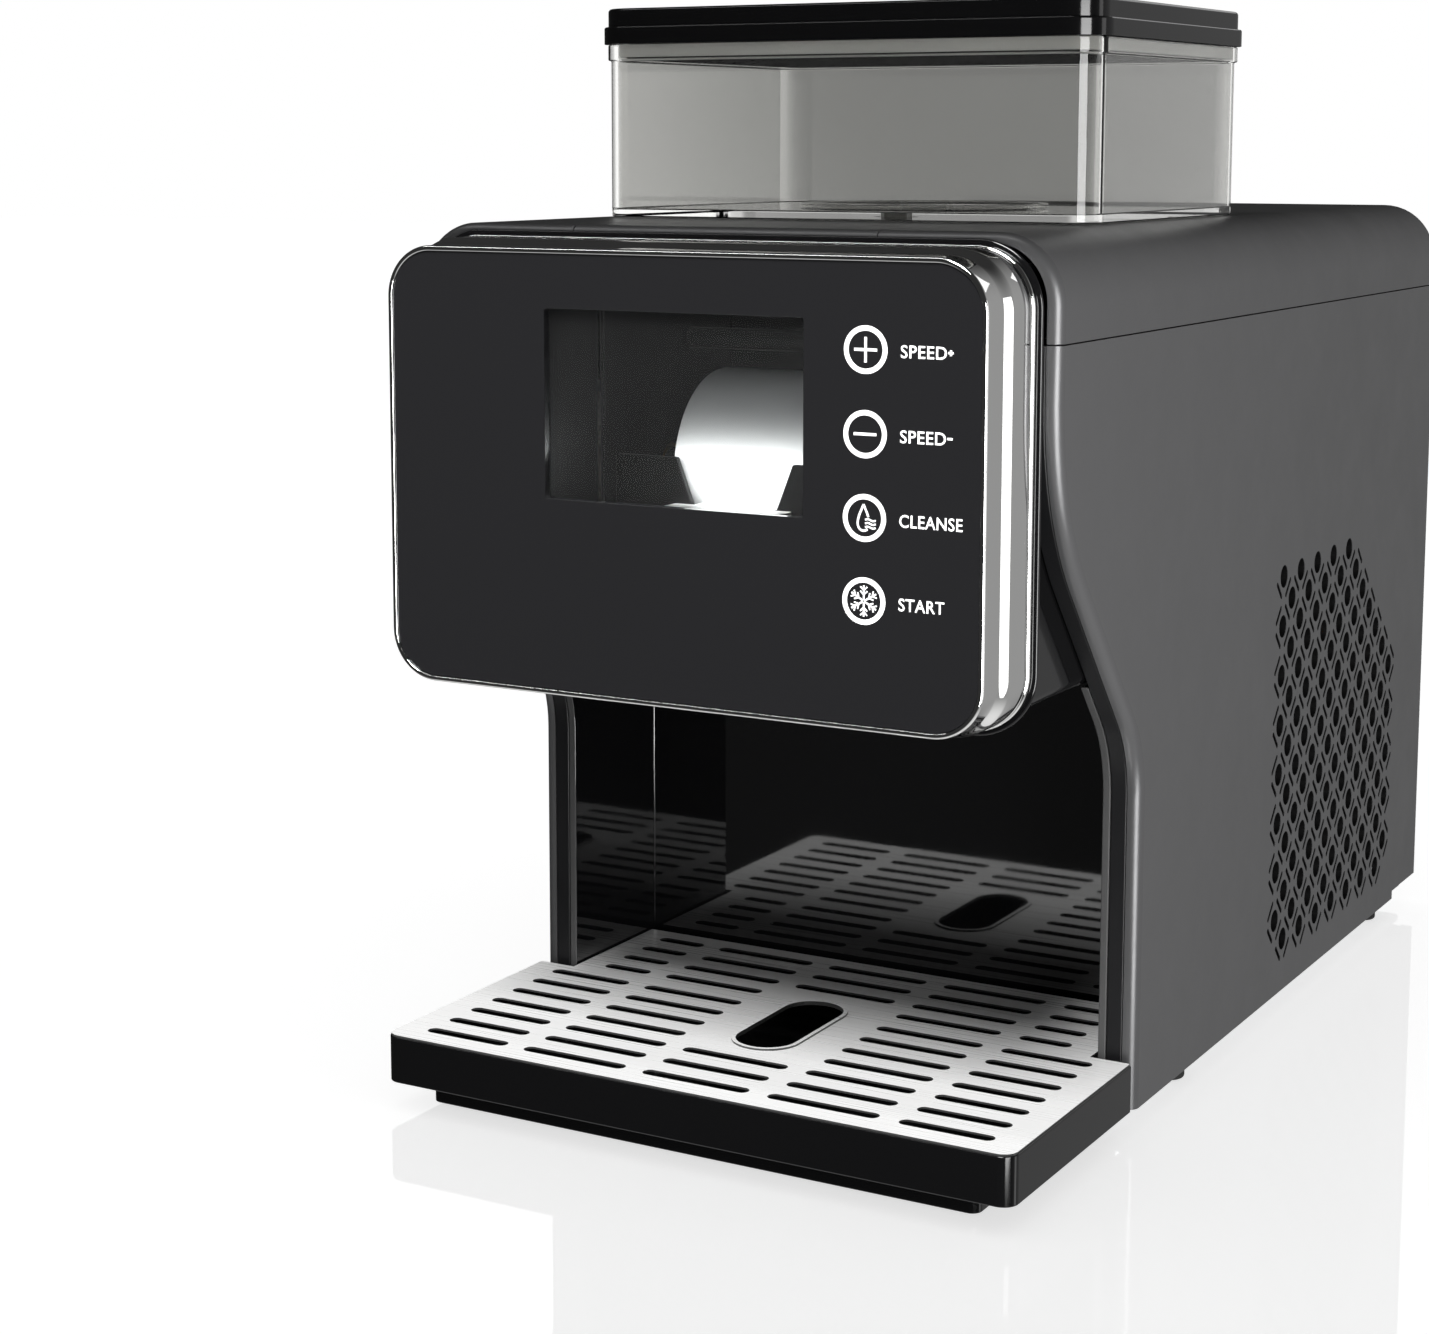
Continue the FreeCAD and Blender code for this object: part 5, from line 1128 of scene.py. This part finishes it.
    def world(self) -> None:
        """Surroundings: white for the camera, even for soft light, patched for reflections."""
        world = bpy.data.worlds.new("surroundings")
        world.use_nodes = True
        bpy.context.scene.world = world
        tree = world.node_tree
        back = tree.nodes["Background"]
        total = None
        patches = [((0.62, 0.78, -0.12), (0.45, 0.97), 0.3), ((0.0, 0.0, -1.0), (0.45, 0.85), 0.7)]
        for way, span, gain in patches:
            add = add_node(tree, "Math", operation="ADD")
            tree.links.new(self.lobe(tree, way, span, gain), add.inputs[0])
            if total is None:
                add.inputs[1].default_value = self.dark_side
            else:
                tree.links.new(total, add.inputs[1])
            total = add.outputs[0]
        through = add_node(tree, "Math", operation="ADD")
        tree.links.new(self.lobe(tree, (-0.47, 0.88, 0.08), (0.72, 0.96), -0.68), through.inputs[0])
        tree.links.new(self.lobe(tree, (-0.402, 0.916, 0.03), (0.987, 0.9995), -0.5),
                       through.inputs[1])
        ahead = add_node(tree, "Math", operation="ADD")
        ahead.inputs[1].default_value = 1.0
        tree.links.new(self.lobe(tree, (-0.5, 0.87, 0.0), (-0.2, 0.3), 0.6), ahead.inputs[0])
        lifted = add_node(tree, "Math", operation="ADD")
        tree.links.new(through.outputs[0], lifted.inputs[0])
        tree.links.new(ahead.outputs[0], lifted.inputs[1])
        path = add_node(tree, "LightPath")
        gates = [("Is Glossy Ray", total), ("Is Singular Ray", 1.0),
                 ("Is Transmission Ray", lifted.outputs[0]), ("Is Camera Ray", 1.0)]
        value = self.even_light
        for gate, then in gates:
            choice = add_node(tree, "Mix", data_type="FLOAT")
            tree.links.new(path.outputs[gate], choice.inputs["Factor"])
            for slot, source in (("A", value), ("B", then)):
                if isinstance(source, float):
                    choice.inputs[slot].default_value = source
                else:
                    tree.links.new(source, choice.inputs[slot])
            value = choice.outputs["Result"]
        tree.links.new(value, back.inputs["Strength"])
        back.inputs["Color"].default_value = (1.0, 1.0, 1.0, 1.0)

    def build(self) -> None:
        """Sets up the whole studio."""
        self.lit = self.gathered("object_lit")
        self.camera()
        self.lights()
        self.floor()
        self.world()
        bpy.context.scene.view_settings.view_transform = "Standard"


def paint_frame() -> None:
    """Gives every node the material of its own slot."""
    for name, node in frame["nodes"].items():
        for slot in node.material_slots:
            slot.material = material_of(SLOT_OF[name])


def main() -> None:
    """Builds the sub-assemblies in order."""
    logging.basicConfig(level=logging.INFO, format="%(message)s")
    paint_frame()
    Refit("_skin", {"left_side_panel": 0.0, "right_side_panel": 0.0}, clean=False).build()
    Refit("_shell", {"top_cover": 0.35, "top_insert": 0.35, "rear_cover": 0.3, "neck_trims": 0.4,
                     "bay_liner": 0.4, "head_housing": 0.4, "base_plate": 0.3}).build()
    Refit("_plate", {"front_panel": 1.0, "window_pane": 0.2, "panel_carrier": 0.2,
                     "window_tunnel": 0.4}).build()
    Bezel().build()
    TouchColumn().build()
    Refit("_piece", {"drum_chamber": 0.4, "drum_shell": 0.5, "drum_end_caps": 0.3,
                     "scraper_holder": 0.5, "scraper_blade": 0.15, "snow_chute": 0.5}).build()
    Refit("_body", {"tank": 0.5, "tank_lid": 0.12}, segments=3).build()
    Refit("_tray", {"drip_tray": 0.5}, segments=3).build()
    Refit("_top", {"drip_grille": 0.22}).build()
    Refit("_pads", {"feet": 1.0}, segments=3).build()
    Refit("_part", {"power_inlet": 0.4, "switch_housing": 0.4, "rocker": 0.5}).build()
    Studio().build()


if __name__ == "__main__":
    main()
